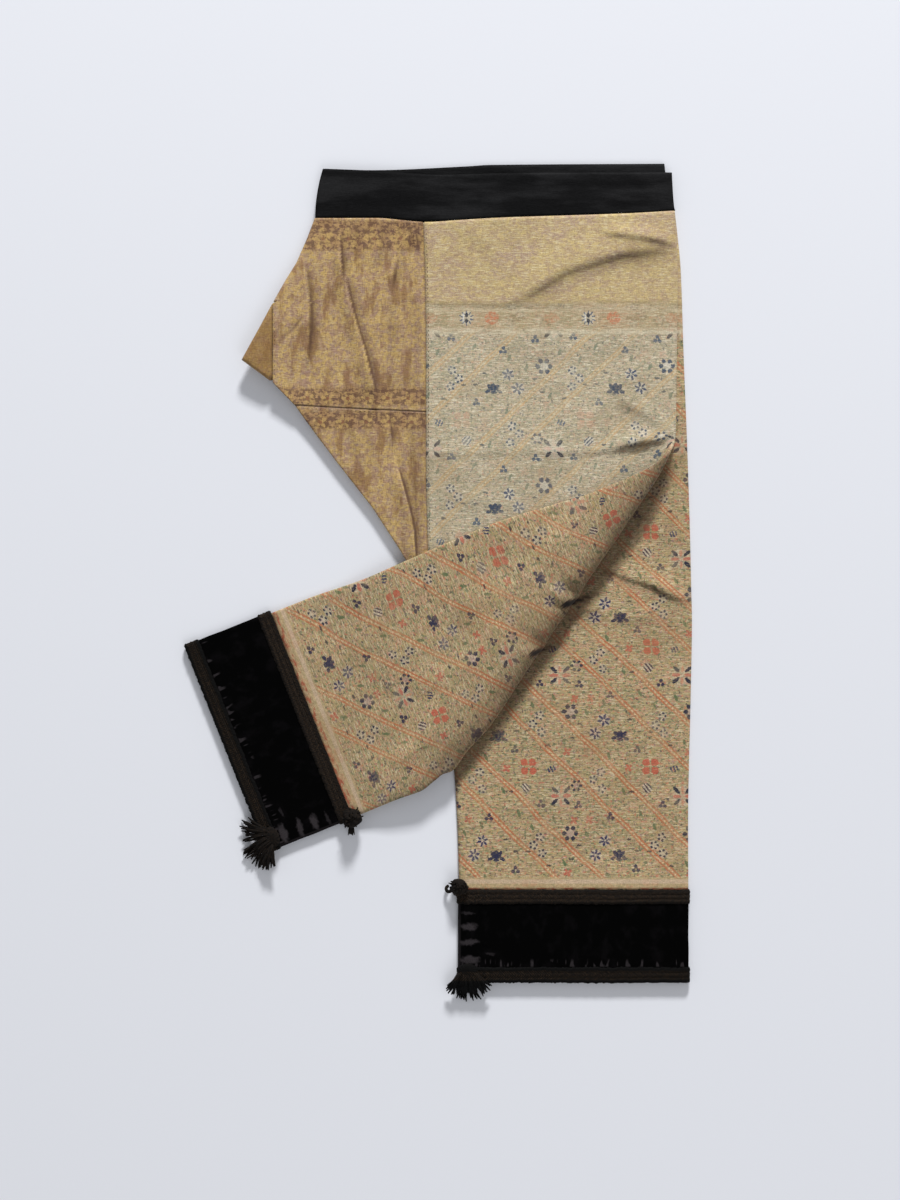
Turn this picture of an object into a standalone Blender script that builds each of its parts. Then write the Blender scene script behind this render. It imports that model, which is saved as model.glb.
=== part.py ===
"""Wide silk trousers, folded down the centre line and laid flat, with one leg folded over at the hip.

Lengths are in millimetres, turned into metres when a mesh is made. X runs to the right across the waist,
Y up towards the waistband, Z up from the surface that the trousers lie on.
"""
import math

import bpy
import bmesh
from mathutils import Vector

MM = 0.001

# Cloth
WALL = 1.2              # silk with its backing
BAND_WALL = 1.2         # cotton waistband
VELVET_WALL = 1.6
BRAID_WALL = 1.6
GAP = 0.3               # between pieces at a seam
HALF_LEG = 1.5          # from a leg's middle to the middle of either layer
HALF_CUFF = 1.2         # the same in a velvet cuff
SEAM_WIDTH = 4.0        # at the left edge of a leg, where its layers are drawn together
SEAM_HALF = 0.8         # from a leg's middle to either layer's middle at a drawn seam

# Heights of the middle of each leg above the surface
UNDER_MID = HALF_LEG + WALL / 2
UPPER_MID = UNDER_MID + 2 * HALF_LEG + WALL + GAP
CUFF_MID = HALF_CUFF + VELVET_WALL / 2 + GAP + BRAID_WALL + 0.2
TOP_WING = UPPER_MID + HALF_LEG
FLAP_MID = UPPER_MID + 2 * (HALF_LEG + WALL / 2) + 0.6

# Middle of the outline, moved on to the origin
CENTRE = (-1.4, -2.1)

# The fold of the upper leg: the line that mirrors it, and the radius of the bend
FOLD_POINT = (254.0, 140.0)
FOLD_ALONG = (-0.5613, -0.8276)
FOLD_OUT = (0.8276, -0.5613)
FOLD_RADIUS = 4.6
FOLD_RADIUS_GROWTH = 0.0087     # for each millimetre down the line
SETTLE_LENGTH = 75.0            # how far from the fold the flap has sunk on to the layers below
PUFF_FROM, PUFF_TO = 445.0, 515.0    # down the line, where the puff of the fold has died out
DROP_FROM, DROP_TO = -35.0, -125.0   # the flap comes down to the surface between these

# The crotch tip stands up
TIP_FROM, TIP_TO, TIP_RISE = -125.0, -205.0, 10.0

# Heights y along the legs before the fold
LEG_TOP = 384.0                      # straight line that the panels' upper edges are bent from
TOP_FIT = 330.0                      # rows above here bend to the waistband's edge
SEAM_FROM, SEAM_TO = 10.0, -25.0     # below the gussets the left edges are sewn together
CUFF_RISE = -270.0                   # below here the legs rise to the middle of the cuffs
LEG_END = -324.5
CUFF_LEFT = 20.5
CUFF_RIGHT = {"under_": 260.0, "upper_": 251.5}
CUFF_TOP, CUFF_HEM = -324.8, -421.5
TOP_BRAID = (-324.8, -339.2)
HEM_BRAID = (-406.0, -421.8)

# Ends of the waistband, at its foot and at its head
BAND_LEFT, BAND_RIGHT = -130.0, 246.5
BAND_LEFT_HEAD = -122.0
UNDER_BAND_RIGHT_HEAD, UPPER_BAND_RIGHT_HEAD = 235.5, 243.0

# Lower edge of the waistband
BAND_FOOT = [
    # x, y
    (-131.0, 379.0),
    (-67.0, 379.0),
    (-14.0, 375.0),
    (20.0, 377.0),
    (64.0, 379.5),
    (197.0, 384.0),
    (247.0, 386.8),
]

# Upper edge of the waistband's two halves
UPPER_BAND_HEAD = [
    # x, y
    (-122.0, 430.5),
    (-60.0, 428.0),
    (0.0, 424.0),
    (80.0, 426.0),
    (243.0, 426.5),
]
UNDER_BAND_HEAD = [
    # x, y
    (-122.0, 429.8),
    (-72.0, 429.6),
    (28.0, 433.6),
    (54.0, 435.2),
    (235.5, 436.4),
]

# Sides of the two leg panels before the fold
UNDER_LEG = [
    # y, left, right
    (384.0, -17.0, 246.5),
    (325.0, -15.0, 252.6),
    (235.0, -14.0, 255.7),
    (141.0, -14.0, 259.4),
    (47.0, -12.5, 262.4),
    (-6.0, -8.0, 263.6),
    (-42.0, -3.5, 264.4),
    (-126.0, 7.0, 263.0),
    (-190.0, 14.6, 261.4),
    (-247.0, 18.5, 260.4),
    (-325.0, 21.0, 260.4),
]
UPPER_LEG = [
    # y, left, right
    (384.0, -17.0, 246.0),
    (315.0, -15.0, 249.0),
    (240.0, -14.0, 248.2),
    (155.0, -14.0, 247.2),
    (120.0, -14.0, 245.2),
    (33.0, -12.0, 243.2),
    (-6.0, -8.0, 246.5),
    (-78.0, 1.0, 251.5),
    (-141.0, 9.0, 250.2),
    (-180.0, 15.0, 248.8),
    (-200.0, 20.0, 248.1),
    (-215.0, 23.5, 247.6),
    (-228.0, 20.0, 247.8),
    (-245.0, 15.5, 248.6),
    (-282.0, 18.5, 250.4),
    (-325.0, 21.0, 250.4),
]

# Rows of the upper leg before the fold, as the y where each meets the left and the right edge. They turn to lie
# along the fold, so that the bend is round
UPPER_LEG_SPANS = [
    # left y, right y, steps
    (LEG_TOP, LEG_TOP, 0),
    (TOP_FIT, TOP_FIT, 2),
    (120.0, 250.0, 3),
    (-190.0, 141.2, 4),
    (-232.0, 114.8, 9),
    (-262.0, 60.0, 4),
    (-290.0, -130.0, 6),
    (LEG_END, LEG_END, 6),
]

# Left edge of the front gusset and of the lower gussets
GUSSET_LEFT = [
    # y, left
    (379.0, -130.5),
    (357.5, -138.6),
    (332.0, -149.6),
    (313.0, -161.2),
    (290.0, -173.9),
    (264.5, -187.4),
    (230.0, -206.3),
    (216.0, -187.0),
    (206.9, -174.8),
    (182.7, -151.1),
    (169.0, -141.0),
    (124.0, -107.6),
    (76.0, -70.0),
    (30.5, -40.4),
    (-5.0, -19.5),
]
PATCH_X = -174.3                     # seam of the crotch patch
PATCH_TOP, PATCH_FOOT = 284.0, 209.0
CROSS_SEAM = [
    # x, y
    (-151.0, 182.7),
    (-94.0, 179.6),
    (-17.0, 176.0),
]
GUSSET_TOP, GUSSET_FOOT = 378.7, 183.0    # y of the front gusset's straight rows
EDGE_OPEN, EDGE_END = 291.0, 207.0        # y between which the patch closes its left edge
LOWER_TOP, LOWER_FIT = 176.0, 130.0       # the lower gussets' rows bend to the cross seam between these
LOWER_TUCK = 4.5                          # how far their top rows reach out under the corner
GUSSET_TIP = 2.0                          # y where the lower gussets have run out

# Long soft folds of the front gusset
GUSSET_FOLDS = [
    # x0, y0, x1, y1, height, half width
    (-102.0, 350.0, -84.0, 277.0, 4.0, 9.0),
    (-86.0, 283.0, -66.0, 198.0, 6.0, 10.0),
    (-140.0, 322.0, -136.0, 232.0, 3.5, 9.0),
    (-46.0, 334.0, -51.0, 306.0, 2.5, 8.0),
]
LOWER_GUSSET_FOLDS = [
    # x0, y0, x1, y1, height, half width
    (-55.0, 172.0, -39.0, 106.0, 4.0, 8.0),
    (-41.0, 110.0, -27.0, 34.0, 5.0, 8.0),
]

# Knots and tassels, placed before the fold; a knot has x, y and radius
KNOTS = {"under_knot": (CUFF_LEFT, -321.5, 10.2), "upper_knot": (CUFF_LEFT, -325.0, 11.6)}
TASSEL_HEAD = (11.5, 7.5, 3.4)       # half width, half length and half thickness
TASSELS = {
    # name: x, y, middle of the fan in degrees from straight down, half fan, longest lock
    "under_tassel": (29.4, -408.5, 3.0, 27.0, 29.0),
    "upper_tassel": (33.0, -409.5, -7.0, 45.0, 33.0),
}
LOCKS = 13                           # in each of a tassel's two layers
LOCK_RADIUS = 0.9


def smooth(value, low, high):
    """0 at low, 1 at high, with a soft start and end."""
    t = max(0.0, min(1.0, (value - low) / (high - low)))
    return t * t * (3 - 2 * t)


def along(table, key, column=1):
    """The table's column where its first column is key; the rows may run up or down."""
    rows = sorted(table)
    if key <= rows[0][0]:
        return rows[0][column]
    for low, high in zip(rows, rows[1:]):
        if key <= high[0]:
            t = (key - low[0]) / (high[0] - low[0])
            return low[column] + (high[column] - low[column]) * t
    return rows[-1][column]


def soft_fold(x, y, folds):
    """Height that the long folds add at a point."""
    rise = 0.0
    for x0, y0, x1, y1, height, half_width in folds:
        length = math.hypot(x1 - x0, y1 - y0)
        ux, uy = (x1 - x0) / length, (y1 - y0) / length
        run = ((x - x0) * ux + (y - y0) * uy) / length
        across = abs((x - x0) * -uy + (y - y0) * ux) / half_width
        if 0 < run < 1 and across < 1:
            rise += height * math.sin(math.pi * run) * (1 - smooth(across, 0, 1))
    return rise


def under_place(x, y, lift):
    """A point of the straight leg; lift is measured from the leg's own middle."""
    middle = UNDER_MID + (CUFF_MID - UNDER_MID) * smooth(y, CUFF_RISE, LEG_END)
    return x, y, middle + lift


def upper_place(x, y, lift):
    """A point of the upper leg, bent over the slanted fold and sunk on to what lies below."""
    dx, dy = x - FOLD_POINT[0], y - FOLD_POINT[1]
    out = dx * FOLD_OUT[0] + dy * FOLD_OUT[1]
    down = dx * FOLD_ALONG[0] + dy * FOLD_ALONG[1]
    radius = FOLD_RADIUS + FOLD_RADIUS_GROWTH * max(down, 0)
    run = out + math.pi * radius / 2
    if run <= 0:
        return x, y, UPPER_MID + lift
    turn = min(run / radius, math.pi)
    flat = max(0.0, run - math.pi * radius)
    side = -math.pi * radius / 2 + radius * math.sin(turn) - flat - lift * math.sin(turn)
    fx = FOLD_POINT[0] + FOLD_ALONG[0] * down + FOLD_OUT[0] * side
    fy = FOLD_POINT[1] + FOLD_ALONG[1] * down + FOLD_OUT[1] * side
    floor_mid = UNDER_MID + (CUFF_MID - UNDER_MID) * smooth(y, CUFF_RISE, LEG_END)
    rest = FLAP_MID + (floor_mid - FLAP_MID) * smooth(fx, DROP_FROM, DROP_TO)
    middle = UPPER_MID + radius * (1 - math.cos(turn))
    puff = (1 - smooth(flat, 0, SETTLE_LENGTH)) * (1 - smooth(down, PUFF_FROM, PUFF_TO) * smooth(flat, 0, 8))
    middle = rest + (middle - rest) * puff
    return fx, fy, middle + lift * math.cos(turn)


def tip_rise(x):
    """How far the crotch tip stands off the surface."""
    return TIP_RISE * smooth(x, TIP_FROM, TIP_TO)


def flat_section(left, right, half, columns, turns, pinch=0.0):
    """A flattened C from the left over the top, round the right edge and back below: (x, lift) pairs.

    pinch, from 0 to 1, draws the two left ends together as at a felled seam.
    """
    end = half + (SEAM_HALF - half) * pinch
    reach = right - half - left
    seam = SEAM_WIDTH / reach
    inner = [seam + (1 - seam) * i / columns for i in range(columns + 1)]
    top = [(left, end)] + [(left + reach * i, half) for i in inner]
    bend = [math.pi * i / turns for i in range(1, turns)]
    turn = [(right - half + half * math.sin(a), half * math.cos(a)) for a in bend]
    below = [(x, -lift) for x, lift in reversed(top)]
    return top + turn + below


def ring_section(left, right, half, columns, turns):
    """A closed flattened ring: (x, lift) pairs, clockwise from the top left."""
    top = [(left + half + (right - left - 2 * half) * i / columns, half) for i in range(columns + 1)]
    bend = [math.pi * i / turns for i in range(1, turns)]
    right_turn = [(right - half + half * math.sin(a), half * math.cos(a)) for a in bend]
    below = [(x, -lift) for x, lift in reversed(top)]
    left_turn = [(left + half - half * math.sin(a), -half * math.cos(a)) for a in bend]
    return top + right_turn + below + left_turn


def principled(name, colour, roughness, sheen=0.0):
    """A material with one Principled shader."""
    material = bpy.data.materials.new(name)
    material.use_nodes = True
    shader = material.node_tree.nodes["Principled BSDF"]
    shader.inputs["Base Color"].default_value = (*colour, 1)
    shader.inputs["Roughness"].default_value = roughness
    shader.inputs["Metallic"].default_value = 0.0
    shader.inputs["Sheen Weight"].default_value = sheen
    return material


def add_object(name, verts, faces, material):
    """A mesh object from points in millimetres."""
    mesh = bpy.data.meshes.new(name)
    mesh.from_pydata([Vector(v) * MM for v in verts], [], faces)
    mesh.materials.append(material)
    mesh.shade_smooth()
    mesh.set_sharp_from_angle(angle=math.radians(50))
    obj = bpy.data.objects.new(name, mesh)
    PIECES.objects.link(obj)
    return obj


def add_wall(name, rows, material, thickness, ring=False, keep=None):
    """Cloth through rows of points, given a wall half to each side; keep(i, j) may leave a face out."""
    across = len(rows[0])
    verts = [point for row in rows for point in row]
    faces = []
    for i in range(len(rows) - 1):
        for j in range(across if ring else across - 1):
            if keep is None or keep(i, j):
                k = (j + 1) % across
                faces.append((i * across + j, i * across + k, (i + 1) * across + k, (i + 1) * across + j))
    obj = add_object(name, verts, faces, material)
    drop_loose(obj.data)
    wall = obj.modifiers.new("wall", "SOLIDIFY")
    wall.thickness = thickness * MM
    wall.offset = 0.0
    wall.use_even_offset = True
    return obj


def drop_loose(mesh):
    """Remove points that no face uses, and turn the cloth's faces the same way."""
    work = bmesh.new()
    work.from_mesh(mesh)
    bmesh.ops.delete(work, geom=[v for v in work.verts if not v.link_faces], context="VERTS")
    bmesh.ops.recalc_face_normals(work, faces=work.faces)
    work.to_mesh(mesh)
    work.free()


def stations(spans):
    """Rows of y from (start, end, steps) spans that follow each other."""
    ys = [spans[0][0]]
    for start, end, steps in spans:
        ys += [start + (end - start) * i / steps for i in range(1, steps + 1)]
    return ys


def leg_rows(table, place, ends, columns):
    """Rows of points of a leg panel from the waistband's foot down to the cuff.

    ends has the y of each row at the left and at the right edge.
    """
    rows = []
    for left_y, right_y in ends:
        left, right = along(table, left_y), along(table, right_y, 2)
        pinch = smooth(left_y, SEAM_FROM, SEAM_TO)
        near_band = smooth(left_y, TOP_FIT, LEG_TOP)
        row = []
        for x, lift in flat_section(left, right, HALF_LEG, columns, 4, pinch):
            y = left_y + (right_y - left_y) * min(1, (x - left) / (right - HALF_LEG - left))
            y += (along(BAND_FOOT, x) - GAP - LEG_TOP) * near_band
            row.append(place(x, y, lift))
        rows.append(row)
    return rows


def under_leg(silk):
    ends = [(y, y) for y in stations([(LEG_TOP, TOP_FIT, 2), (TOP_FIT, -250, 11), (-250, LEG_END, 3)])]
    add_wall("under_leg", leg_rows(UNDER_LEG, under_place, ends, 8), silk, WALL)


def upper_leg(silk):
    ends = [UPPER_LEG_SPANS[0][:2]]
    for (l0, r0, _), (l1, r1, steps) in zip(UPPER_LEG_SPANS, UPPER_LEG_SPANS[1:]):
        ends += [(l0 + (l1 - l0) * i / steps, r0 + (r1 - r0) * i / steps) for i in range(1, steps + 1)]
    add_wall("upper_leg", leg_rows(UPPER_LEG, upper_place, ends, 10), silk, WALL)


def band_rows(head, right_head, middle):
    """Rows of a waistband half, from its foot to its head."""
    rows = []
    for step in range(4):
        t = step / 3
        row = []
        left = BAND_LEFT + (BAND_LEFT_HEAD - BAND_LEFT) * t * t
        right = BAND_RIGHT + (right_head - BAND_RIGHT) * math.sqrt(t)
        for x, lift in flat_section(left, right, HALF_LEG, 12, 4, 1.0):
            foot = along(BAND_FOOT, x)
            row.append((x, foot + (along(head, x) - foot) * t, middle + lift))
        rows.append(row)
    return rows


def waistbands(cotton):
    rows = band_rows(UNDER_BAND_HEAD, UNDER_BAND_RIGHT_HEAD, UNDER_MID)
    add_wall("waistband_under", rows, cotton, BAND_WALL)
    rows = band_rows(UPPER_BAND_HEAD, UPPER_BAND_RIGHT_HEAD, UPPER_MID)
    add_wall("waistband_upper", rows, cotton, BAND_WALL)


def seam_x(y):
    """The gussets' edge, a gap short of the leg panels."""
    return along(UPPER_LEG, y) - GAP


def wing_row(y, left, right, top, bottom, columns, turns, folds):
    """Top wing from the right, round the left edge and back along the bottom wing."""
    half = (top - bottom) / 2
    middle = (top + bottom) / 2
    reach = right - left - half
    top_side = [(right - reach * i / columns, half) for i in range(columns + 1)]
    bend = [math.pi * i / turns for i in range(1, turns)]
    turn = [(left + half - half * math.sin(a), half * math.cos(a)) for a in bend]
    below = [(x, -lift) for x, lift in reversed(top_side)]
    row = []
    for x, lift in top_side + turn + below:
        edge = smooth(min(right - x, x - left), 0, 14) if lift > 0 else 0
        rise = soft_fold(x, y, folds) * edge
        row.append((x, y, middle + lift + rise + tip_rise(x)))
    return row


def front_gusset(silk):
    """Upper piece: it wraps the centre front fold down to the crotch patch."""
    columns, turns = 13, 6
    rows, fold_ends = [], 0
    for y in stations([(GUSSET_TOP, EDGE_OPEN, 8), (EDGE_OPEN, EDGE_END, 8), (EDGE_END, GUSSET_FOOT, 2)]):
        left = along(GUSSET_LEFT, y)
        if y < EDGE_OPEN:
            left = max(left, PATCH_X + GAP / 2) - (TOP_WING - WALL / 2) / 2
        elif y > EDGE_OPEN:
            fold_ends += 1
        foot = smooth(y, 240, GUSSET_FOOT)
        row = []
        for x, _, z in wing_row(y, left, seam_x(y), TOP_WING, WALL / 2, columns, turns, GUSSET_FOLDS):
            drop = (along(CROSS_SEAM, x) + GAP / 2 - GUSSET_FOOT) * foot
            head = (along(BAND_FOOT, x) - GAP - GUSSET_TOP) * smooth(y, TOP_FIT, GUSSET_TOP)
            row.append((x, y + drop + head, z))
        rows.append(row)

    def keep(i, j):
        return i < fold_ends or not columns <= j < columns + turns

    add_wall("front_gusset", rows, silk, WALL, keep=keep)


def crotch_patch(silk):
    """Corner piece that closes the tip of the gusset."""
    rows = []
    for y in stations([(PATCH_TOP, 230, 6), (230, PATCH_FOOT, 3)]):
        left, right = along(GUSSET_LEFT, y), PATCH_X - GAP / 2
        half = min((TOP_WING - WALL / 2) / 2, max(0.9, 0.45 * (right - left)))
        middle = (TOP_WING + WALL / 2) / 2
        rows.append(wing_row(y, left, right, middle + half, middle - half, 3, 6, []))
    add_wall("crotch_patch", rows, silk, WALL)


def lower_gusset(name, middle, folds, columns, steps, silk):
    """Triangle below the cross seam, folded at its slanted edge."""
    rows = []
    for y in stations([(LOWER_TOP, LOWER_FIT, 3), (LOWER_FIT, GUSSET_TIP, steps)]):
        near_seam = smooth(y, LOWER_FIT, LOWER_TOP)
        left = along(GUSSET_LEFT, y) - LOWER_TUCK * near_seam
        row = []
        top, bottom = middle + HALF_LEG, middle - HALF_LEG
        for x, _, z in wing_row(y, left, seam_x(y), top, bottom, columns, 4, folds):
            row.append((x, y + (along(CROSS_SEAM, x) - GAP / 2 - LOWER_TOP) * near_seam, z))
        rows.append(row)
    add_wall(name, rows, silk, WALL)


def back_gusset(silk):
    """The hidden layers inside the front gusset, as one rounded solid."""
    bottom, top = WALL + 2 * GAP, TOP_WING - WALL / 2 - 2 * GAP
    half, middle = (top - bottom) / 2, (top + bottom) / 2
    rows = []
    for y in stations([(373.5, 230, 9), (230, 188, 4)]):
        left = along(GUSSET_LEFT, y) + WALL / 2 + GAP + 0.6
        left = max(left, PATCH_X + 1.2)
        row = []
        for x, lift in ring_section(left, seam_x(y), half, 9, 4):
            row.append((x, y, middle + lift + tip_rise(x)))
        rows.append(row)
    around = len(rows[0])
    verts = [point for row in rows for point in row]
    faces = [tuple(range(around)), tuple(reversed(range(len(verts) - around, len(verts))))]
    for i in range(len(rows) - 1):
        for j in range(around):
            k = (j + 1) % around
            faces.append((i * around + j, i * around + k, (i + 1) * around + k, (i + 1) * around + j))
    obj = add_object("back_gusset", verts, faces, silk)
    drop_loose(obj.data)


def cuff_pieces(prefix, place, velvet, braid):
    """A velvet cuff with a braid round its top and another round its hem."""
    right = CUFF_RIGHT[prefix]

    def ring(name, span, steps, half, grow, material, wall, columns):
        rows = []
        for y in stations([(span[0], span[1], steps)]):
            section = ring_section(CUFF_LEFT - grow, right + grow, half, columns, 4)
            rows.append([place(x, y, lift) for x, lift in section])
        add_wall(prefix + name, rows, material, wall, ring=True)

    grow = VELVET_WALL / 2 + GAP + BRAID_WALL / 2
    ring("cuff", (CUFF_TOP, CUFF_HEM), 6, HALF_CUFF, 0.0, velvet, VELVET_WALL, 12)
    ring("top_braid", TOP_BRAID, 2, HALF_CUFF + grow, grow, braid, BRAID_WALL, 12)
    ring("hem_braid", HEM_BRAID, 2, HALF_CUFF + grow, grow, braid, BRAID_WALL, 12)


def flap_axes(x, y):
    """Where a point before the fold ends up, with its two flat directions there."""
    here = Vector(upper_place(x, y, 0))
    right = (Vector(upper_place(x + 1, y, 0)) - here).normalized()
    down = (Vector(upper_place(x, y - 1, 0)) - here).normalized()
    return here, right, down


def table_point(name, x, y):
    """Centre and flat directions for a knot or tassel on either leg."""
    if name.startswith("upper"):
        return flap_axes(x, y)
    return Vector(under_place(x, y, 0)), Vector((1, 0, 0)), Vector((0, -1, 0))


def cuff_top():
    """Height of the braid's upper face over a cuff that lies flat."""
    return CUFF_MID + HALF_CUFF + VELVET_WALL / 2 + GAP + BRAID_WALL


def ball(name, centre, radii, turn, material):
    """A smooth ball or flattened ball."""
    bpy.ops.mesh.primitive_uv_sphere_add(segments=16, ring_count=10, radius=1.0)
    obj = bpy.context.object
    obj.name = obj.data.name = name
    obj.data.materials.append(material)
    obj.data.shade_smooth()
    for old in list(obj.users_collection):
        old.objects.unlink(obj)
    PIECES.objects.link(obj)
    for vertex in obj.data.vertices:
        x, y, z = (vertex.co[i] * radii[i] for i in range(3))
        co = turn[0] * x + turn[1] * y + turn[2] * z
        vertex.co = (centre + co) * MM
    return obj


def boolean(obj, other, operation):
    """Cut or join another object; the cutter is kept hidden in its own collection."""
    modifier = obj.modifiers.new(operation.lower(), "BOOLEAN")
    modifier.operation = operation
    modifier.object = other
    modifier.solver = "EXACT"
    other.hide_render = True
    other.display_type = "WIRE"
    for old in list(other.users_collection):
        old.objects.unlink(other)
    CUTTERS.objects.link(other)


def knot(name, braid):
    """Round knot sewn over the cuff's edge, notched where the edge runs into it."""
    x, y, radius = KNOTS[name]
    centre, right, down = table_point(name, x, y)
    up = Vector((0, 0, 1))
    centre.z = radius + 0.05
    obj = ball(name, centre, (radius, radius, radius), (right, down, up), braid)
    reach = 40.0
    edge = CUFF_LEFT - (VELVET_WALL / 2 + GAP + BRAID_WALL) - GAP - x
    bpy.ops.mesh.primitive_cube_add(size=2)
    cutter = bpy.context.object
    cutter.name = name + "_notch"
    near = (-radius, 0, radius)
    highest = max(table_point(name, x + a, y + b)[0].z for a in near for b in near)
    top = highest + cuff_top() - CUFF_MID + GAP + 0.4
    for vertex in cutter.data.vertices:
        a = edge + reach * (vertex.co.x + 1) / 2
        b = reach * vertex.co.y
        c = -5 if vertex.co.z < 0 else top
        place = centre + right * a + down * b
        vertex.co = Vector((place.x, place.y, c)) * MM
    fix_normals(cutter.data)
    boolean(obj, cutter, "DIFFERENCE")


def fix_normals(mesh):
    """Turn a closed mesh's faces outwards."""
    work = bmesh.new()
    work.from_mesh(mesh)
    bmesh.ops.recalc_face_normals(work, faces=work.faces)
    work.to_mesh(mesh)
    work.free()


def lock(path, radius):
    """One three-sided lock along a path: its points and faces, narrowing to the tip."""
    verts, faces = [], []
    for i, point in enumerate(path):
        size = radius * (1 - 0.45 * i / (len(path) - 1))
        ahead = (path[min(i + 1, len(path) - 1)] - path[max(i - 1, 0)]).normalized()
        side = ahead.cross(Vector((0, 0, 1))).normalized()
        over = side.cross(ahead)
        for corner in range(3):
            a = 2 * math.pi * corner / 3 + math.pi / 6
            verts.append(point + side * size * math.cos(a) + over * size * math.sin(a))
    for i in range(len(path) - 1):
        for corner in range(3):
            a, b = i * 3 + corner, i * 3 + (corner + 1) % 3
            faces.append((a, b, b + 3, a + 3))
    last = len(verts) - 3
    faces += [(2, 1, 0), (last, last + 1, last + 2)]
    return verts, faces


def tassel(name, braid):
    """A flat head on the hem braid, with two layers of locks that fan out and drop over the hem."""
    x, y, lean, spread, longest = TASSELS[name]
    centre, right, down = table_point(name, x, y)
    half_width, half_length, half_height = TASSEL_HEAD
    centre.z = cuff_top() + GAP + half_height + 0.2
    obj = ball(name, centre, (half_width, half_length, half_height), (right, down, Vector((0, 0, 1))), braid)
    verts, faces = [], []
    for layer in range(2):
        for i in range(LOCKS):
            share = 2 * i / (LOCKS - 1) - 1
            angle = math.radians(lean + spread * share * (1.0 if layer == 0 else 0.88))
            root = centre + right * half_width * 0.86 * share + down * half_length * 0.45 * math.cos(share)
            root.z = centre.z + (-0.9 if layer == 0 else 1.5)
            length = longest * (1 - 0.22 * abs(share)) * (0.93 + 0.07 * math.cos(5 * i + layer))
            way = right * math.sin(angle) + down * math.cos(angle)
            path = []
            for step in range(4):
                t = step / 3
                point = root + way * length * t
                low = LOCK_RADIUS + 0.5 + (2.6 if layer else 0.0)
                over_hem = smooth((point - hem_point(name)).dot(down), 1.0, 14.0)
                point.z = root.z + (low - root.z) * over_hem
                path.append(point)
            more, their_faces = lock(path, LOCK_RADIUS)
            faces += [tuple(k + len(verts) for k in face) for face in their_faces]
            verts += more
    locks = add_object(name + "_locks", verts, faces, braid)
    fix_normals(locks.data)
    boolean(obj, locks, "UNION")


def hem_point(name):
    """A point on the outside of the hem."""
    return table_point(name, 40.0, HEM_BRAID[1])[0]


def clear_scene():
    for obj in list(bpy.data.objects):
        bpy.data.objects.remove(obj)


def collection(name):
    made = bpy.data.collections.new(name)
    bpy.context.scene.collection.children.link(made)
    return made


clear_scene()
PIECES = collection("trousers")
CUTTERS = collection("cutters")

SILK = principled("figured_silk", (0.42, 0.31, 0.17), 0.6, 0.2)
GUSSET_SILK = principled("gold_silk", (0.40, 0.26, 0.08), 0.55, 0.2)
COTTON = principled("black_cotton", (0.012, 0.012, 0.012), 0.85)
VELVET = principled("black_velvet", (0.006, 0.005, 0.006), 0.9, 0.6)
BRAID = principled("dark_braid", (0.035, 0.024, 0.018), 0.7)

under_leg(SILK)
upper_leg(SILK)
waistbands(COTTON)
front_gusset(GUSSET_SILK)
crotch_patch(GUSSET_SILK)
lower_gusset("upper_leg_gusset", UPPER_MID, LOWER_GUSSET_FOLDS, 8, 8, GUSSET_SILK)
lower_gusset("under_leg_gusset", UNDER_MID, [], 8, 8, GUSSET_SILK)
back_gusset(GUSSET_SILK)
cuff_pieces("under_", under_place, VELVET, BRAID)
cuff_pieces("upper_", upper_place, VELVET, BRAID)
for knot_name in KNOTS:
    knot(knot_name, BRAID)
for tassel_name in TASSELS:
    tassel(tassel_name, BRAID)
for piece in list(PIECES.objects) + list(CUTTERS.objects):
    piece.location = (-CENTRE[0] * MM, -CENTRE[1] * MM, 0)
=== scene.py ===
"""Looks of the folded silk trousers: cloth shells with creases, woven patterns, velvet, braid and tassels.

Lengths are in millimetres on the table, with the same origin as the solids once CENTRE is taken away.
"""
import math
import random

import bmesh
import bpy
import numpy as np
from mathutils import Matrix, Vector


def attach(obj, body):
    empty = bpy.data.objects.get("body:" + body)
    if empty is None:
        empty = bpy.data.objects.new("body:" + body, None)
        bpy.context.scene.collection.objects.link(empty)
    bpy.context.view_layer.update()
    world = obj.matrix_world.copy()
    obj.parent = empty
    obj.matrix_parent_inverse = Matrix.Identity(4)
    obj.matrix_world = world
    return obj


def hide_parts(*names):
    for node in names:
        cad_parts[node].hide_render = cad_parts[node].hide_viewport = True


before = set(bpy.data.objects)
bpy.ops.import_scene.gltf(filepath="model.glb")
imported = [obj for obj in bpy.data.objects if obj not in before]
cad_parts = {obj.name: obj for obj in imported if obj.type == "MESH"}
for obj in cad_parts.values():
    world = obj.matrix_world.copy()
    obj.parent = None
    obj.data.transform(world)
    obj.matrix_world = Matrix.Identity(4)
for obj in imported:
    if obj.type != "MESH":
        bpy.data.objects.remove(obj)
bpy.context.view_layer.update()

MM = 0.001
CENTRE = np.array([-1.4, -2.1, 0.0])
# The camera's aim on the table, its height and the height of its picture in metres, its sensor in millimetres
AIM, CAMERA_HEIGHT, PICTURE_HEIGHT, SENSOR = (11.0, -21.0), 2.6, 1.26, 36.0

# Cloth
WALL = 1.2
VELVET_WALL = 1.6
BRAID_WALL = 1.6
GAP = 0.3
HALF_LEG = 1.5
HALF_CUFF = 1.2
UNDER_MID = HALF_LEG + WALL / 2
UPPER_MID = UNDER_MID + 2 * HALF_LEG + WALL + GAP
CUFF_MID = HALF_CUFF + VELVET_WALL / 2 + GAP + BRAID_WALL + 0.2
TOP_WING = UPPER_MID + HALF_LEG
WING_HALF, WING_MID = (TOP_WING - WALL / 2) / 2, (TOP_WING + WALL / 2) / 2
FLAP_MID = UPPER_MID + 2 * (HALF_LEG + WALL / 2) + 0.6
SILK_SHELL, VELVET_SHELL, BRAID_SHELL = 0.9, 1.2, 1.0
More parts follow.
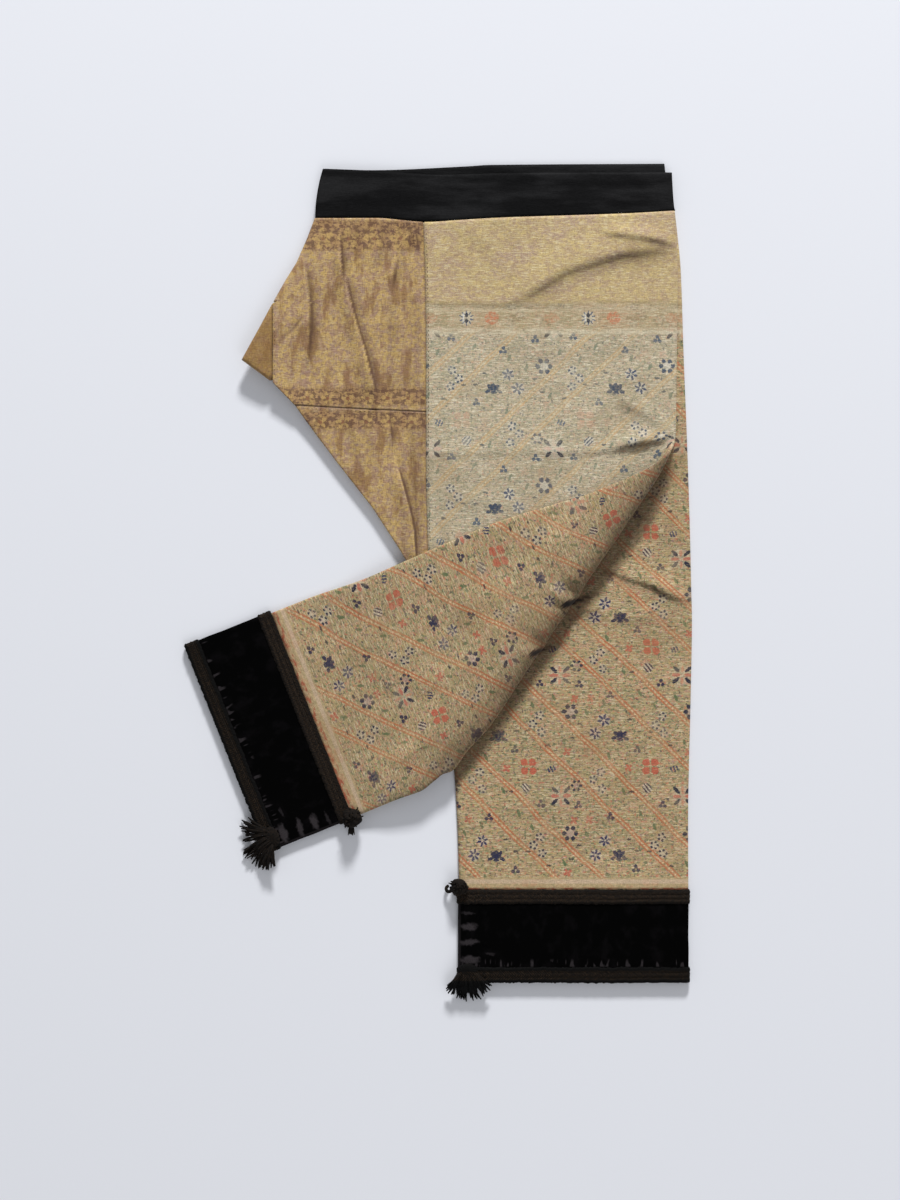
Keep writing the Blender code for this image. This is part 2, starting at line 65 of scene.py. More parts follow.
# How far the panels dip into a seam, and how far a braid's edges wander
SEAM_DIP, BRAID_WANDER = 0.9, 0.32
# Depth of the threads' relief, which is only shaded
RELIEF = 0.5
WHITE = (1.0, 1.0, 1.0, 1.0)

# The slanted fold of the upper leg
FOLD_POINT = (254.0, 140.0)
FOLD_ALONG = (-0.5613, -0.8276)
FOLD_OUT = (0.8276, -0.5613)
FOLD_RADII = [
    # distance down the line, radius
    (-40.0, 4.6), (0.0, 5.2), (60.0, 8.0), (260.0, 8.4), (340.0, 7.0), (430.0, 5.2),
]
SETTLE_LENGTH, PLUMP_LENGTH = 75.0, 26.0
PUFF_FROM, PUFF_TO = 445.0, 515.0
DROP_FROM, DROP_TO = -35.0, -125.0
FOLD_END, FOLD_END_SHIFT = (350.0, 398.0), 6.0
FAR_FROM_FOLD = -100.0
# The top of the fold is pulled towards the waist
APEX, APEX_LIFT, APEX_REACH = (245.0, 130.0), 10.0, 19.0
# Tucks that dent the fold, with depths as shares of its radius, and the swell after each of them
SWELL_AFTER, SWELL_SHARE = 1.9, 0.2
FOLD_TUCKS = [
    # down, depth, half width
    (191.0, 0.40, 7.0), (213.0, 0.22, 5.0), (256.0, 0.26, 8.0), (120.0, 0.10, 14.0), (330.0, 0.10, 16.0),
]

TIP_FROM, TIP_TO, TIP_RISE = -125.0, -205.0, 9.0
LEG_TOP, LEG_END = 384.0, -324.5
# Heights where the straight leg begins to rise to its cuff, and where the leg panels close into tubes
CUFF_RISE, TUBE_STARTS = -270.0, (10.0, -25.0)
LEG_COLUMNS, LEG_TURNS = 84, 8
CUFF_TOP, CUFF_HEM = -324.8, -421.5
TOP_BRAID = (-324.8, -339.2)
HEM_BRAID = (-406.0, -421.8)
CUFF_LEFT = 20.5
CUFF_RIGHT = {"under": 260.0, "upper": 251.5}

BAND_LEFT, BAND_TOP_LEFT, BAND_RIGHT = -130.0, -122.0, 246.5
UNDER_BAND_TOP_RIGHT, UPPER_BAND_TOP_RIGHT = 235.5, 243.0
BAND_COLUMNS, BAND_STEPS = 110, 18
BAND_FOOT = [
    # x, y
    (-131.0, 379.0), (-67.0, 379.0), (-14.0, 375.0), (20.0, 377.0), (64.0, 379.5), (197.0, 384.0),
    (247.0, 386.8),
]
UPPER_BAND_HEAD = [
    # x, y
    (-122.0, 430.5), (-60.0, 428.0), (0.0, 424.0), (80.0, 426.0), (243.0, 426.5),
]
UNDER_BAND_HEAD = [
    # x, y
    (-122.0, 429.8), (-72.0, 429.6), (28.0, 433.6), (54.0, 435.2), (235.5, 436.4),
]
UNDER_LEG = [
    # y, left, right
    (384.0, -17.0, 246.5), (325.0, -15.0, 252.6), (235.0, -14.0, 255.7), (141.0, -14.0, 259.4),
    (47.0, -12.5, 262.4), (-6.0, -8.0, 263.6), (-42.0, -3.5, 264.4), (-126.0, 7.0, 263.0),
    (-190.0, 14.6, 261.4), (-247.0, 18.5, 260.4), (-325.0, 21.0, 260.4),
]
UPPER_LEG = [
    # y, left, right
    (384.0, -17.0, 246.0), (315.0, -15.0, 249.0), (240.0, -14.0, 248.2), (155.0, -14.0, 247.2),
    (120.0, -14.0, 245.2), (33.0, -12.0, 243.2), (-6.0, -8.0, 246.5), (-78.0, 1.0, 251.5),
    (-141.0, 9.0, 250.2), (-180.0, 15.0, 248.8), (-200.0, 20.0, 248.1), (-215.0, 23.5, 247.6),
    (-228.0, 20.0, 247.8), (-245.0, 15.5, 248.6), (-282.0, 18.5, 250.4), (-325.0, 21.0, 250.4),
]
# Rows of the upper leg before the fold, turning to lie along it
UPPER_LEG_SPANS = [
    # left y, right y, steps
    (384.0, 384.0, 0), (330.0, 330.0, 18), (120.0, 250.0, 56), (-190.0, 141.2, 50), (-232.0, 114.8, 20),
    (-262.0, 60.0, 16), (-290.0, -130.0, 42), (LEG_END, LEG_END, 44),
]
GUSSET_LEFT = [
    # y, left
    (379.0, -130.5), (357.5, -138.6), (332.0, -149.6), (313.0, -161.2), (290.0, -173.9), (264.5, -187.4),
    (230.0, -206.3), (216.0, -187.0), (206.9, -174.8), (182.7, -151.1), (169.0, -141.0), (124.0, -107.6),
    (76.0, -70.0), (30.5, -40.4), (-5.0, -19.5),
]
GUSSET_TOP, GUSSET_TIP, LOWER_TOP = 378.7, 2.0, 176.0
GUSSET_COLUMNS, LOWER_COLUMNS, PATCH_COLUMNS, WING_TURNS = 100, 70, 14, 10
PATCH_X = -174.3
PATCH_CUT, PATCH_TOP, PATCH_FOOT = 291.0, 284.0, 209.0
BACK_TOP, BACK_FOOT, LAYER_GROOVE = 373.5, 188.0, 0.5
CROSS_SEAM = [
    # x, y
    (-151.0, 182.7),
    (-94.0, 179.6),
    (-17.0, 176.0),
]

# Creases, as routes on the table with a height, a half width and a lean that makes the left side of the route
# steeper (above 0) or gentler; the height at which a crease gets its full painted shade; the gusset gets more
FULL_SHADE_HEIGHT, GUSSET_SHADE = 2.6, 1.7
GUSSET_CREASES = [
    # route, height, half width, lean
    ([(-99, 318), (-92, 286), (-85, 262), (-77, 236), (-66, 192)], 6.4, 8.0, 1.85),
    ([(-104, 362), (-103, 336), (-101, 306)], 4.4, 5.0, 1.75),
    ([(-140, 326), (-136, 290), (-136, 262), (-139, 228)], 3.0, 7.0, 1.6),
    ([(-46, 336), (-49, 320), (-51, 304)], 1.8, 5.0, 1.0),
    ([(-166, 246), (-150, 262), (-139, 276)], 1.5, 6.0, 1.2),
    ([(-29, 374), (-25, 358), (-23, 342)], 1.8, 2.6, 1.4),
    ([(-37, 376), (-33, 362), (-31, 348)], 1.4, 2.4, 1.4),
    ([(-64, 376), (-63, 352), (-66, 330)], 1.1, 5.0, 0.8),
    ([(-92, 376), (-89, 360), (-91, 345)], 1.0, 4.5, 0.8),
    ([(-40, 300), (-36, 250), (-39, 200)], 1.0, 12.0, 0.0),
]
LOWER_CREASES = [
    # route, height, half width, lean
    ([(-44, 118), (-39, 100), (-32, 76), (-27, 52), (-25, 20)], 5.0, 7.0, 1.85),
    ([(-54, 174), (-52, 158), (-50, 140)], 1.8, 4.0, 1.4),
    ([(-92, 170), (-84, 150), (-78, 126)], 1.2, 8.0, 0.0),
    ([(-26, 170), (-23, 110), (-21, 50)], 1.6, 3.5, 0.0),
]
FADED_CREASES = [
    # route, height, half width, lean
    ([(242, 350), (188, 344), (130, 326), (84, 297)], 3.6, 18.0, 1.3),
    ([(246, 352), (221, 358), (176, 364)], 2.4, 7.0, 1.3),
    ([(244, 284), (150, 286), (60, 288), (-12, 291)], 0.5, 2.6, 1.0),
    ([(243, 141), (219, 139.6), (180, 135), (139, 133), (60, 134), (-14, 131)], 1.1, 3.6, 1.3),
    ([(258, 149), (243, 146.5), (226, 146), (204, 143), (180, 137)], 5.4, 8.0, 1.7),
    ([(236, 160), (214, 176), (186, 190)], 1.6, 8.0, 0.8),
    ([(20, 380), (60, 352), (72, 330)], 0.8, 14.0, 0.0),
    ([(30, 240), (96, 214), (170, 216), (240, 232)], 1.0, 20.0, 0.3),
    ([(-8, 96), (70, 84), (120, 96)], 0.9, 14.0, 0.0),
]
UNDER_CREASES = [
    # route, height, half width, lean
    ([(264, -21), (250, -19), (234, -11.5), (223, -5), (202, 1), (178, 10)], 3.4, 8.0, 1.6),
    ([(236, -36), (205, -38), (170, -34), (140, -30)], 1.2, 9.0, 0.3),
    ([(60, -200), (120, -188), (190, -196), (250, -190)], 0.8, 16.0, 0.2),
    ([(40, -268), (120, -262), (210, -270)], 0.7, 14.0, 0.0),
    ([(210, 60), (236, 48), (262, 44)], 1.2, 6.0, 0.4),
]
FLAP_CREASES = [
    # route, height, half width, lean
    ([(160, 84), (130, 60), (110, 30)], 1.3, 12.0, 0.0),
    ([(92, 12), (60, -14), (20, -36)], 1.2, 14.0, 0.2),
    ([(40, -84), (0, -100), (-40, -112)], 1.4, 14.0, 0.3),
    ([(10, -160), (-30, -178), (-62, -190)], 1.6, 12.0, 0.2),
    ([(-110, -60), (-120, -100), (-112, -150)], 0.9, 12.0, 0.0),
    ([(-40, 10), (-70, -30), (-84, -90)], 1.0, 12.0, 0.0),
]
BAND_CREASES = [
    # route, height, half width, lean
    ([(-68, 428), (-20, 417), (40, 409)], 0.9, 4.0, 0.3),
    ([(-40, 427), (10, 421), (90, 420)], 0.8, 3.5, 0.3),
    ([(100, 423), (150, 416), (220, 415)], 0.7, 4.0, 0.0),
    ([(-118, 410), (-60, 402), (20, 400)], 0.5, 7.0, 0.0),
    ([(120, 396), (180, 399), (238, 394)], 0.5, 6.0, 0.0),
]
# Deep shade where the flap's edge tucks under: route, half width, share
POCKETS = [
    ([(130, -26), (148, -20.5), (170, -13)], 3.6, 2.0),
    ([(96, -77), (112, -71.5), (128, -67)], 3.6, 1.8),
    ([(121, -36.5), (142, -34.5), (168, -32.5)], 2.2, 1.1),
]
# Shade that the flap casts on the straight leg, and its width: distance down the fold, width
FOLD_SHADE_SHARE = 0.74
FOLD_SHADE = [(20.0, 9.0), (93.0, 20.0), (169.0, 16.0), (258.0, 10.0), (400.0, 6.0)]

# Knots and tassels
KNOTS = {"under_knot": (20.5, -321.5, 10.2), "upper_knot": (20.5, -325.0, 11.6)}
TASSEL_HEAD = (11.5, 7.5, 3.4)
KNOT_TUFTS, KNOT_ENDS, TASSEL_THREADS, THREAD_SIDES = 34, 9, 82, 5
KNOT_SKIN, LOWEST_THREAD = 0.84, 1.0
TASSEL_RADII = [1.1, 1.25, 1.2, 1.25, 1.15, 1.05, 0.6]
TASSELS = {
    # name: x, y, middle of the fan in degrees, half fan, longest thread
    "under_tassel": (29.4, -408.5, 3.0, 40.0, 30.0),
    "upper_tassel": (33.0, -409.5, -7.0, 55.0, 34.0),
}

# The silk's repeat, the side to side place of its stars, and its height in the weave for heights on the table
REPEAT = (127.6, 125.0)
UNDER_STAR_X = 126.3
UPPER_STAR_X = 119.5
FLAP_STAR_X = 117.5
SETTLED_PATTERN = 70.0
UNDER_ROWS = [
    # table y, height in the weave
    (392.0, 254.4), (288.8, 151.2), (-99.8, -250.0), (-226.0, -375.0), (-325.0, -473.0),
]
UPPER_ROWS = [
    # table y, height in the weave
    (392.0, 254.4), (288.8, 151.2), (137.6, 0.0), (-109.9, -250.0), (-227.9, -375.0), (-325.0, -477.0),
]


def smooth(value, low, high):
    """0 at low, 1 at high, with a soft start and end."""
    t = np.clip((value - low) / (high - low), 0.0, 1.0)
    return t * t * (3 - 2 * t)


def along(table, key, column=1):
    """Smooth curve through a table's column, which never overshoots its rows."""
    rows = np.array(sorted(table), float)
    x, y = rows[:, 0], rows[:, column]
    step, slope = np.diff(x), np.diff(y) / np.diff(x)
    product = slope[:-1] * slope[1:]
    total = np.where(product > 0, slope[:-1] + slope[1:], 1.0)
    tangent = np.concatenate([[slope[0]], np.where(product > 0, 2 * product / total, 0.0), [slope[-1]]])
    key = np.asarray(key, float)
    k = np.clip(np.searchsorted(x, key) - 1, 0, len(step) - 1)
    t = np.clip((key - x[k]) / step[k], 0.0, 1.0)
    return (
        y[k] * (1 + 2 * t) * (1 - t) ** 2
        + y[k + 1] * t * t * (3 - 2 * t)
        + step[k] * t * (1 - t) * (tangent[k] * (1 - t) - tangent[k + 1] * t)
    )


def blank(x, y):
    """Zeros in the common shape of x and y."""
    return np.zeros(np.broadcast(x, y).shape)


def beside(route, x, y):
    """Distance from a route, share of the way along it, and side: above 0 on its left."""
    pieces = [math.dist(a, b) for a, b in zip(route, route[1:])]
    whole, passed = sum(pieces), 0.0
    nearest, run, side = blank(x, y) + 1e9, blank(x, y), blank(x, y)
    for (ax, ay), (bx, by), length in zip(route, route[1:], pieces):
        ux, uy = (bx - ax) / length, (by - ay) / length
        t = np.clip((x - ax) * ux + (y - ay) * uy, 0, length)
        dx, dy = x - ax - ux * t, y - ay - uy * t
        far = np.hypot(dx, dy)
        closer = far < nearest
        nearest = np.where(closer, far, nearest)
        run = np.where(closer, (passed + t) / whole, run)
        side = np.where(closer, np.sign(ux * dy - uy * dx), side)
        passed += length
    return nearest, run, side


def creases(x, y, table):
    """Height that a table of creases adds, and the painted shade at the foot of their steep sides."""
    rise, painted_shade = blank(x, y), blank(x, y)
    for route, height, half_width, lean in table:
        nearest, run, side = beside(route, x, y)
        width = half_width * (1 - 0.45 * lean * side)
        body = np.exp(-(nearest / width) ** 2 * 1.6)
        taper = np.sin(math.pi * np.clip(run, 0.01, 0.99)) ** 0.35
        uneven = taper * (0.82 + 0.18 * np.sin(run * 9.0 + height * 5.0))
        rise += height * body * uneven
        # Painted shade: a narrow dark line at the foot of the steep side, and a softer, wider band
        foot = width + 0.6 if lean else half_width
        spread = 1.3 + 0.12 * half_width
        dark = np.exp(-((nearest - 0.8 * foot) / spread) ** 2) * min(1.0, 0.45 + abs(lean) / 2)
        soft = 0.5 * np.exp(-((nearest - foot) / (2.8 * spread)) ** 2)
        on_side = (side * lean >= 0) * uneven * min(1.0, height / FULL_SHADE_HEIGHT)
        painted_shade = np.maximum(painted_shade, np.maximum(dark, soft) * on_side)
    return rise, painted_shade


def pockets(x, y):
    """Deep shade of the tucks beside the fold."""
    shade = blank(x, y)
    for route, half_width, share in POCKETS:
        nearest, run, _ = beside(route, x, y)
        shade = np.maximum(shade, share * np.exp(-(nearest / half_width) ** 2) * (1 - 0.6 * run))
    return shade


def by_fold(x, y):
    """Distance outwards from the slanted fold's line, and distance down along it."""
    dx, dy = x - FOLD_POINT[0], y - FOLD_POINT[1]
    return dx * FOLD_OUT[0] + dy * FOLD_OUT[1], dx * FOLD_ALONG[0] + dy * FOLD_ALONG[1]


def cast_shade(x, y):
    """Shade on the straight leg beside the flap's edge."""
    out, down = by_fold(x, y)
    width = along(FOLD_SHADE, down)
    return FOLD_SHADE_SHARE * smooth(out, width + 3, width - 3) * smooth(down, 0, 40) * smooth(out, -30, -10)


def ripple(x, y, seed, size, height):
    """Low uneven undulation, from a few waves in directions drawn with a seed."""
    draw = random.Random(seed)
    total = blank(x, y)
    for _ in range(7):
        angle, length = draw.uniform(0, math.pi), size * draw.uniform(0.6, 1.7)
        phase = draw.uniform(0, 2 * math.pi)
        total += np.sin((x * math.cos(angle) + y * math.sin(angle)) * 2 * math.pi / length + phase)
    return height * total / 3.0


def under_middle(y):
    """Middle height of the straight leg, which rises to the cuff's."""
    return UNDER_MID + (CUFF_MID - UNDER_MID) * smooth(y, CUFF_RISE, LEG_END)


def under_place(x, y, lift):
    """A point of the straight leg."""
    return np.stack(np.broadcast_arrays(x, y, under_middle(y) + lift), -1)


def upper_place(x, y, lift):
    """A point of the upper leg, bent over the slanted fold and sunk on to what lies below."""
    x, y, lift = np.broadcast_arrays(np.asarray(x, float), y, lift)
    out, down = by_fold(x, y)
    full = along(FOLD_RADII, down)
    radius = full
    for where, depth, half_width in FOLD_TUCKS:
        dent = np.exp(-((down - where) / half_width) ** 2)
        swell = np.exp(-((down - where - SWELL_AFTER * half_width) / half_width) ** 2)
        radius = radius * (1 - depth * dent + SWELL_SHARE * depth * swell)
    half_turn = math.pi * radius
    run = out + half_turn / 2
    turn = np.clip(run / radius, 0, math.pi)
    flat = np.maximum(0.0, run - half_turn)
    side = -half_turn / 2 + radius * np.sin(turn) - flat - lift * np.sin(turn)
    fx = FOLD_POINT[0] + FOLD_ALONG[0] * down + FOLD_OUT[0] * side
    fy = FOLD_POINT[1] + FOLD_ALONG[1] * down + FOLD_OUT[1] * side
    rest = FLAP_MID + (under_middle(y) - FLAP_MID) * smooth(fx, DROP_FROM, DROP_TO)
    middle = UPPER_MID + radius * (1 - np.cos(turn)) + 2 * (full - radius) * smooth(flat, 0, PLUMP_LENGTH)
    puff = (1 - smooth(flat, 0, SETTLE_LENGTH)) * (1 - smooth(down, PUFF_FROM, PUFF_TO) * smooth(flat, 0, 8))
    middle = rest + (middle - rest) * puff
    bent = np.stack([fx, fy, middle + lift * np.cos(turn)], -1)
    straight = np.stack([x, y, UPPER_MID + lift], -1)
    placed = np.where((run > 0)[..., None], bent, straight)
    drawn_in = FOLD_END_SHIFT * smooth(down, *FOLD_END) * (1 - smooth(flat, 12, 60)) * smooth(run, -50, 0)
    placed[..., 0] -= FOLD_OUT[0] * drawn_in
    placed[..., 1] -= FOLD_OUT[1] * drawn_in
    far = np.hypot(placed[..., 0] - APEX[0], placed[..., 1] - APEX[1])
    placed[..., 1] += APEX_LIFT * np.exp(-(far / APEX_REACH) ** 2)
    return placed


def folded_over(x, y):
    """How far a point of the upper leg lies past the start of the fold."""
    out, down = by_fold(x, y)
    return out + math.pi * along(FOLD_RADII, down) / 2


def tip_rise(x):
    """Height that the gussets' tip gains towards the left."""
    return TIP_RISE * smooth(x, TIP_FROM, TIP_TO)


# Meshes


def shell(name, points, cloth, faces, material, thickness=0, painted_shade=None):
    """A cloth piece from points in millimetres, with its flat coordinates and its painted shade as
    attributes.
    """
    mesh = bpy.data.meshes.new(name)
    world = (np.asarray(points, float) - CENTRE) * MM
    mesh.from_pydata(world.tolist(), [], faces)
    kept = mesh.attributes.new("cloth", "FLOAT_VECTOR", "POINT")
    kept.data.foreach_set("vector", np.asarray(cloth, np.float32).ravel())
    # The painted shade is kept as an attribute that darkens the colour
    if painted_shade is not None:
        kept = mesh.attributes.new("painted_shade", "FLOAT", "POINT")
        kept.data.foreach_set("value", np.asarray(painted_shade, np.float32).ravel())
    obj = bpy.data.objects.new(name, mesh)
    bpy.context.scene.collection.objects.link(obj)
    mesh.materials.append(material)
    mesh.shade_smooth()
    work = bmesh.new()
    work.from_mesh(mesh)
    bmesh.ops.delete(work, geom=[v for v in work.verts if not v.link_faces], context="VERTS")
    bmesh.ops.recalc_face_normals(work, faces=work.faces)
    work.to_mesh(mesh)
    work.free()
    if thickness:
        wall = obj.modifiers.new("wall", "SOLIDIFY")
        wall.thickness = thickness * MM
        wall.offset = 0.0
    return obj


def grid_faces(rows, across, ring=False, keep=None):
    """Faces of a grid of rows by across points."""
    faces = []
    for i in range(rows - 1):
        for j in range(across if ring else across - 1):
            if keep is None or keep(i, j):
                k = (j + 1) % across
                faces.append((i * across + j, i * across + k, (i + 1) * across + k, (i + 1) * across + j))
    return faces


def grid_area(cloth):
    """Flat area of a grid of cloth coordinates, in square metres."""
    u, v = cloth[..., 0], cloth[..., 1]
    a = (u[1:, 1:] - u[:-1, :-1]) * (v[1:, :-1] - v[:-1, 1:])
    b = (u[1:, :-1] - u[:-1, 1:]) * (v[1:, 1:] - v[:-1, :-1])
    return float(np.abs(a - b).sum() / 2) * MM * MM


def grid_piece(name, points, cloth, material, thickness=SILK_SHELL, painted_shade=None, ring=False, keep=None):
    """A piece from rows of points and of cloth coordinates, and its flat area."""
    cloth = np.array(cloth)
    faces = grid_faces(len(points), cloth.shape[1], ring, keep)
    painted_shade = None if painted_shade is None else np.concatenate(painted_shade)
    obj = shell(name, np.concatenate(points), cloth.reshape(-1, 3), faces, material, thickness, painted_shade)
    return obj, grid_area(cloth)


def dress(obj, node):
    """Attach a piece to the root, and hide the solid that it stands for."""
    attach(obj, "root")
    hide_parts(node)


def stations(spans):
    """Values, or points, from (start, end, steps) spans that follow each other."""
    values = [spans[0][0]]
    for start, end, steps in spans:
        start, end = np.asarray(start, float), np.asarray(end, float)
        values += [start + (end - start) * i / steps for i in range(1, steps + 1)]
    return values


def wrapped(x, lift, centre, reach, turns, below=None):
    """Across a flattened tube: out along its top, round its edge and back below; also the edge's angles."""
    bend = np.pi * np.arange(1, turns) / turns
    below = lift if below is None else below
    xs = np.concatenate([x, centre + reach * np.sin(bend), x[::-1]])
    return xs, np.concatenate([lift, abs(reach) * np.cos(bend), -below[::-1]]), bend


def closed_left(x, left, length, least):
    """Lift of a wall that curves down to its closed left edge."""
    inset = np.clip((x - left) / length, 0, 1)
    return np.maximum(HALF_LEG * np.sqrt(1 - (1 - inset) ** 2), least)


def leg_relief(spot, past, top, edge, calm, folds):
    """Height of a row's creases, the painted shade beside them, and the flap's faint darker tone."""
    x, y = spot[:, 0], spot[:, 1]
    on_base, on_flap = smooth(past, 0, -14), smooth(past, 26, 60)
    rise, painted_shade = creases(x, y, folds)
    rise = (rise + ripple(x, y, 3, 70, 0.30)) * edge * top * on_base
    flap_rise, flap_painted_shade = creases(x, y, FLAP_CREASES)
    flap_rise += ripple(x, y, 8, 60, 0.5) + 0.5
    rise += flap_rise * on_flap * calm * (0.35 + 0.65 * edge)
    return rise, painted_shade * top * on_base, flap_painted_shade * on_flap, 0.10 * on_flap


def fold_shade(spot, past, top, calm, is_upper):
    """Shade on the fold's roll and in the tucks beside it, or the shade that the flap casts."""
    x, y = spot[:, 0], spot[:, 1]
    wide, narrow = 0.27 * (1 - smooth(past, 40, 95)), 0.42 * (1 - smooth(past, 20, 42))
    roll = (wide + narrow) * smooth(past, 9, 15) * calm
    if is_upper:
        return np.maximum(roll, pockets(x, y) * smooth(past, 6, 12) * (1 - smooth(past, 26, 38)))
    return np.maximum(roll, np.maximum(pockets(x, y), cast_shade(x, y)) * top)


def leg(name, table, place, ends, rows, star_x, folds, silk):
    """A leg panel: top face from the left, round the right edge and back below."""
    is_upper = place is upper_place
    share = np.linspace(0, 1, LEG_COLUMNS + 1)
    points, cloth, painted_shades = [], [], []
    for left_y, right_y in ends:
        left, right = float(along(table, left_y)), float(along(table, right_y, 2))
        reach = right - HALF_LEG - left
        tube = float(smooth(left_y, *TUBE_STARTS))
        x = left + reach * share
        lift = HALF_LEG * (1 - tube) + closed_left(x, left, 2.2 * HALF_LEG, 0.12) * tube
        dip = SEAM_DIP * (1 - smooth(x - left, 0, 3.0)) * (1 - tube)
        xs, lifts, bend = wrapped(x, lift - dip, right - HALF_LEG, HALF_LEG, LEG_TURNS, lift)
        ys = left_y + (right_y - left_y) * np.minimum(1, (xs - left) / reach)
        ys = ys + (along(BAND_FOOT, xs) - GAP - LEG_TOP) * float(smooth(left_y, 330, LEG_TOP))
        spot = place(xs, ys, lifts)
        top = np.concatenate([np.ones(len(x)), np.cos(bend) * 0.5 + 0.5, np.zeros(len(x))])
        edge = smooth(np.minimum(xs - left, right - xs), 0, 6)
        past = folded_over(xs, ys) if is_upper else np.full(len(xs), FAR_FROM_FOLD)
        calm = 1 - smooth(ys, -285, LEG_END)
        rise, painted_shade, flap_painted_shade, flap_tone = leg_relief(spot, past, top, edge, calm, folds)
        # Painted shade: the fold's roll, the tucks and the shadow that the flap casts, with the flap's faint
        # darker tone
        shade = np.maximum(fold_shade(spot, past, top, calm, is_upper), flap_tone)
        spot[:, 2] += rise
        points.append(spot)
        painted_shades.append(painted_shade + np.maximum(flap_painted_shade, shade))
        below = np.arange(len(xs)) > len(x) + LEG_TURNS // 2
        u = np.where(below, 2 * right - xs, xs) - star_x
        faded = np.zeros(len(xs))
        if is_upper:
            offset = 2 * right - star_x - FLAP_STAR_X - 2 * REPEAT[0]
            u = below * offset * smooth(right - xs, 0, SETTLED_PATTERN) - u
            faded = top * (1 - smooth(past, -2, 6))
        cloth.append(np.stack([u, along(rows, ys), faded], -1))
    return grid_piece(name, points, cloth, silk, painted_shade=painted_shades)


def legs(silk):
    """Both leg panels."""
    ys = stations([(LEG_TOP, 330, 18), (330, -250, 190), (-250, LEG_END, 26)])
    obj, area = leg("silk_under_leg", UNDER_LEG, under_place, [(y, y) for y in ys], UNDER_ROWS, UNDER_STAR_X,
                    UNDER_CREASES, silk)
    dress(obj, "under_leg")
    spans = [(a[:2], b[:2], b[2]) for a, b in zip(UPPER_LEG_SPANS, UPPER_LEG_SPANS[1:])]
    obj, area = leg("silk_upper_leg", UPPER_LEG, upper_place, stations(spans), UPPER_ROWS, UPPER_STAR_X,
                    FADED_CREASES, silk)
    dress(obj, "upper_leg")


def waistband(half_name, head, top_right, middle, cotton, relief):
    """One half of the waistband: a flat casing, closed at the left and folded at the right."""
    share = np.linspace(0, 1, BAND_COLUMNS + 1)
    points, cloth = [], []
    for t in np.arange(BAND_STEPS + 1) / BAND_STEPS:
        left = BAND_LEFT + (BAND_TOP_LEFT - BAND_LEFT) * t * t
        right = BAND_RIGHT + (top_right - BAND_RIGHT) * math.sqrt(t)
        x = left + (right - HALF_LEG - left) * share
        xs, lifts, _ = wrapped(x, closed_left(x, left, 3.0, 0.1), right - HALF_LEG, HALF_LEG, LEG_TURNS)
        foot = along(BAND_FOOT, xs)
        ys = foot + (along(head, xs) - foot) * t
        edge_roll = 0.55 * (1 - smooth(t, 0, 0.06)) + 0.7 * smooth(t, 0.95, 1.0)
        zs = middle + lifts * (1 - 0.35 * edge_roll)
        if relief:
            edge = smooth(np.minimum(xs - left, right - xs), 0, 8) * smooth(t, 0, 0.12) * smooth(t, 1.0, 0.9)
            rise = creases(xs, ys, BAND_CREASES)[0] + ripple(xs, ys, 21, 46, 0.25)
            zs = zs + rise * edge * (lifts > 0)
        points.append(np.stack([xs, ys, zs], -1))
        around = np.where(np.arange(len(xs)) <= len(x) + LEG_TURNS // 2, xs, 2 * right - xs)
        cloth.append(np.stack([around, ys, np.zeros(len(xs))], -1))
    obj, area = grid_piece(f"cotton_waistband_{half_name}", points, cloth, cotton)
    dress(obj, f"waistband_{half_name}")


def seam_x(y):
    """The gussets' edge at the leg panels."""
    return along(UPPER_LEG, y) - GAP


def gusset_edge(y):
    """The gussets' left edge, which has corners."""
    rows = sorted(GUSSET_LEFT)
    return np.interp(y, [row[0] for row in rows], [row[1] for row in rows])


def wing_grid(name, node, ys, left_at, right_at, half_at, middle, columns, folds, fit_row, keep, silk):
    """Top wing from the right, round the left edge and back along the bottom wing."""
    share = np.linspace(0, 1, columns + 1)
    points, cloth, painted_shades = [], [], []
    for y in ys:
        left, right, half = float(left_at(y)), float(right_at(y)), float(half_at(y))
        x = right - (right - left - half) * share
        xs, lifts, _ = wrapped(x, np.full(len(x), half), left + half, -half, WING_TURNS)
        row_y = y + fit_row(xs, y) + 0 * xs
        top = lifts > 0.2 * half
        edge = smooth(right - xs, 0, 9) * smooth(xs - left, 0, 9)
        by_leg = 1 - smooth(right - xs, 0, 3.0)
        rise, painted_shade = creases(xs, row_y, folds)
        rise = (rise + ripple(xs, row_y, 5, 44, 0.35) + 0.2) * edge
        zs = middle + lifts + (rise - SEAM_DIP * by_leg) * top + tip_rise(xs)
        points.append(np.stack([xs, row_y, zs], -1))
        # Painted shade along the seams where the panels meet, and painted shade in the creases
        by_cross = 1 - smooth(abs(row_y - along(CROSS_SEAM, xs)), 0.5, 1.8)
        seam_shade = np.maximum(0.35 * by_leg, 0.9 * by_cross)
        painted_shades.append(np.maximum(np.minimum(GUSSET_SHADE * painted_shade, 1.0), seam_shade) * top)
        around = np.where(lifts > 0, xs, 2 * left - xs)
        cloth.append(np.stack([around, row_y, np.zeros(len(xs))], -1))
    obj, area = grid_piece(name, points, cloth, silk, painted_shade=painted_shades, keep=keep)
    dress(obj, node)


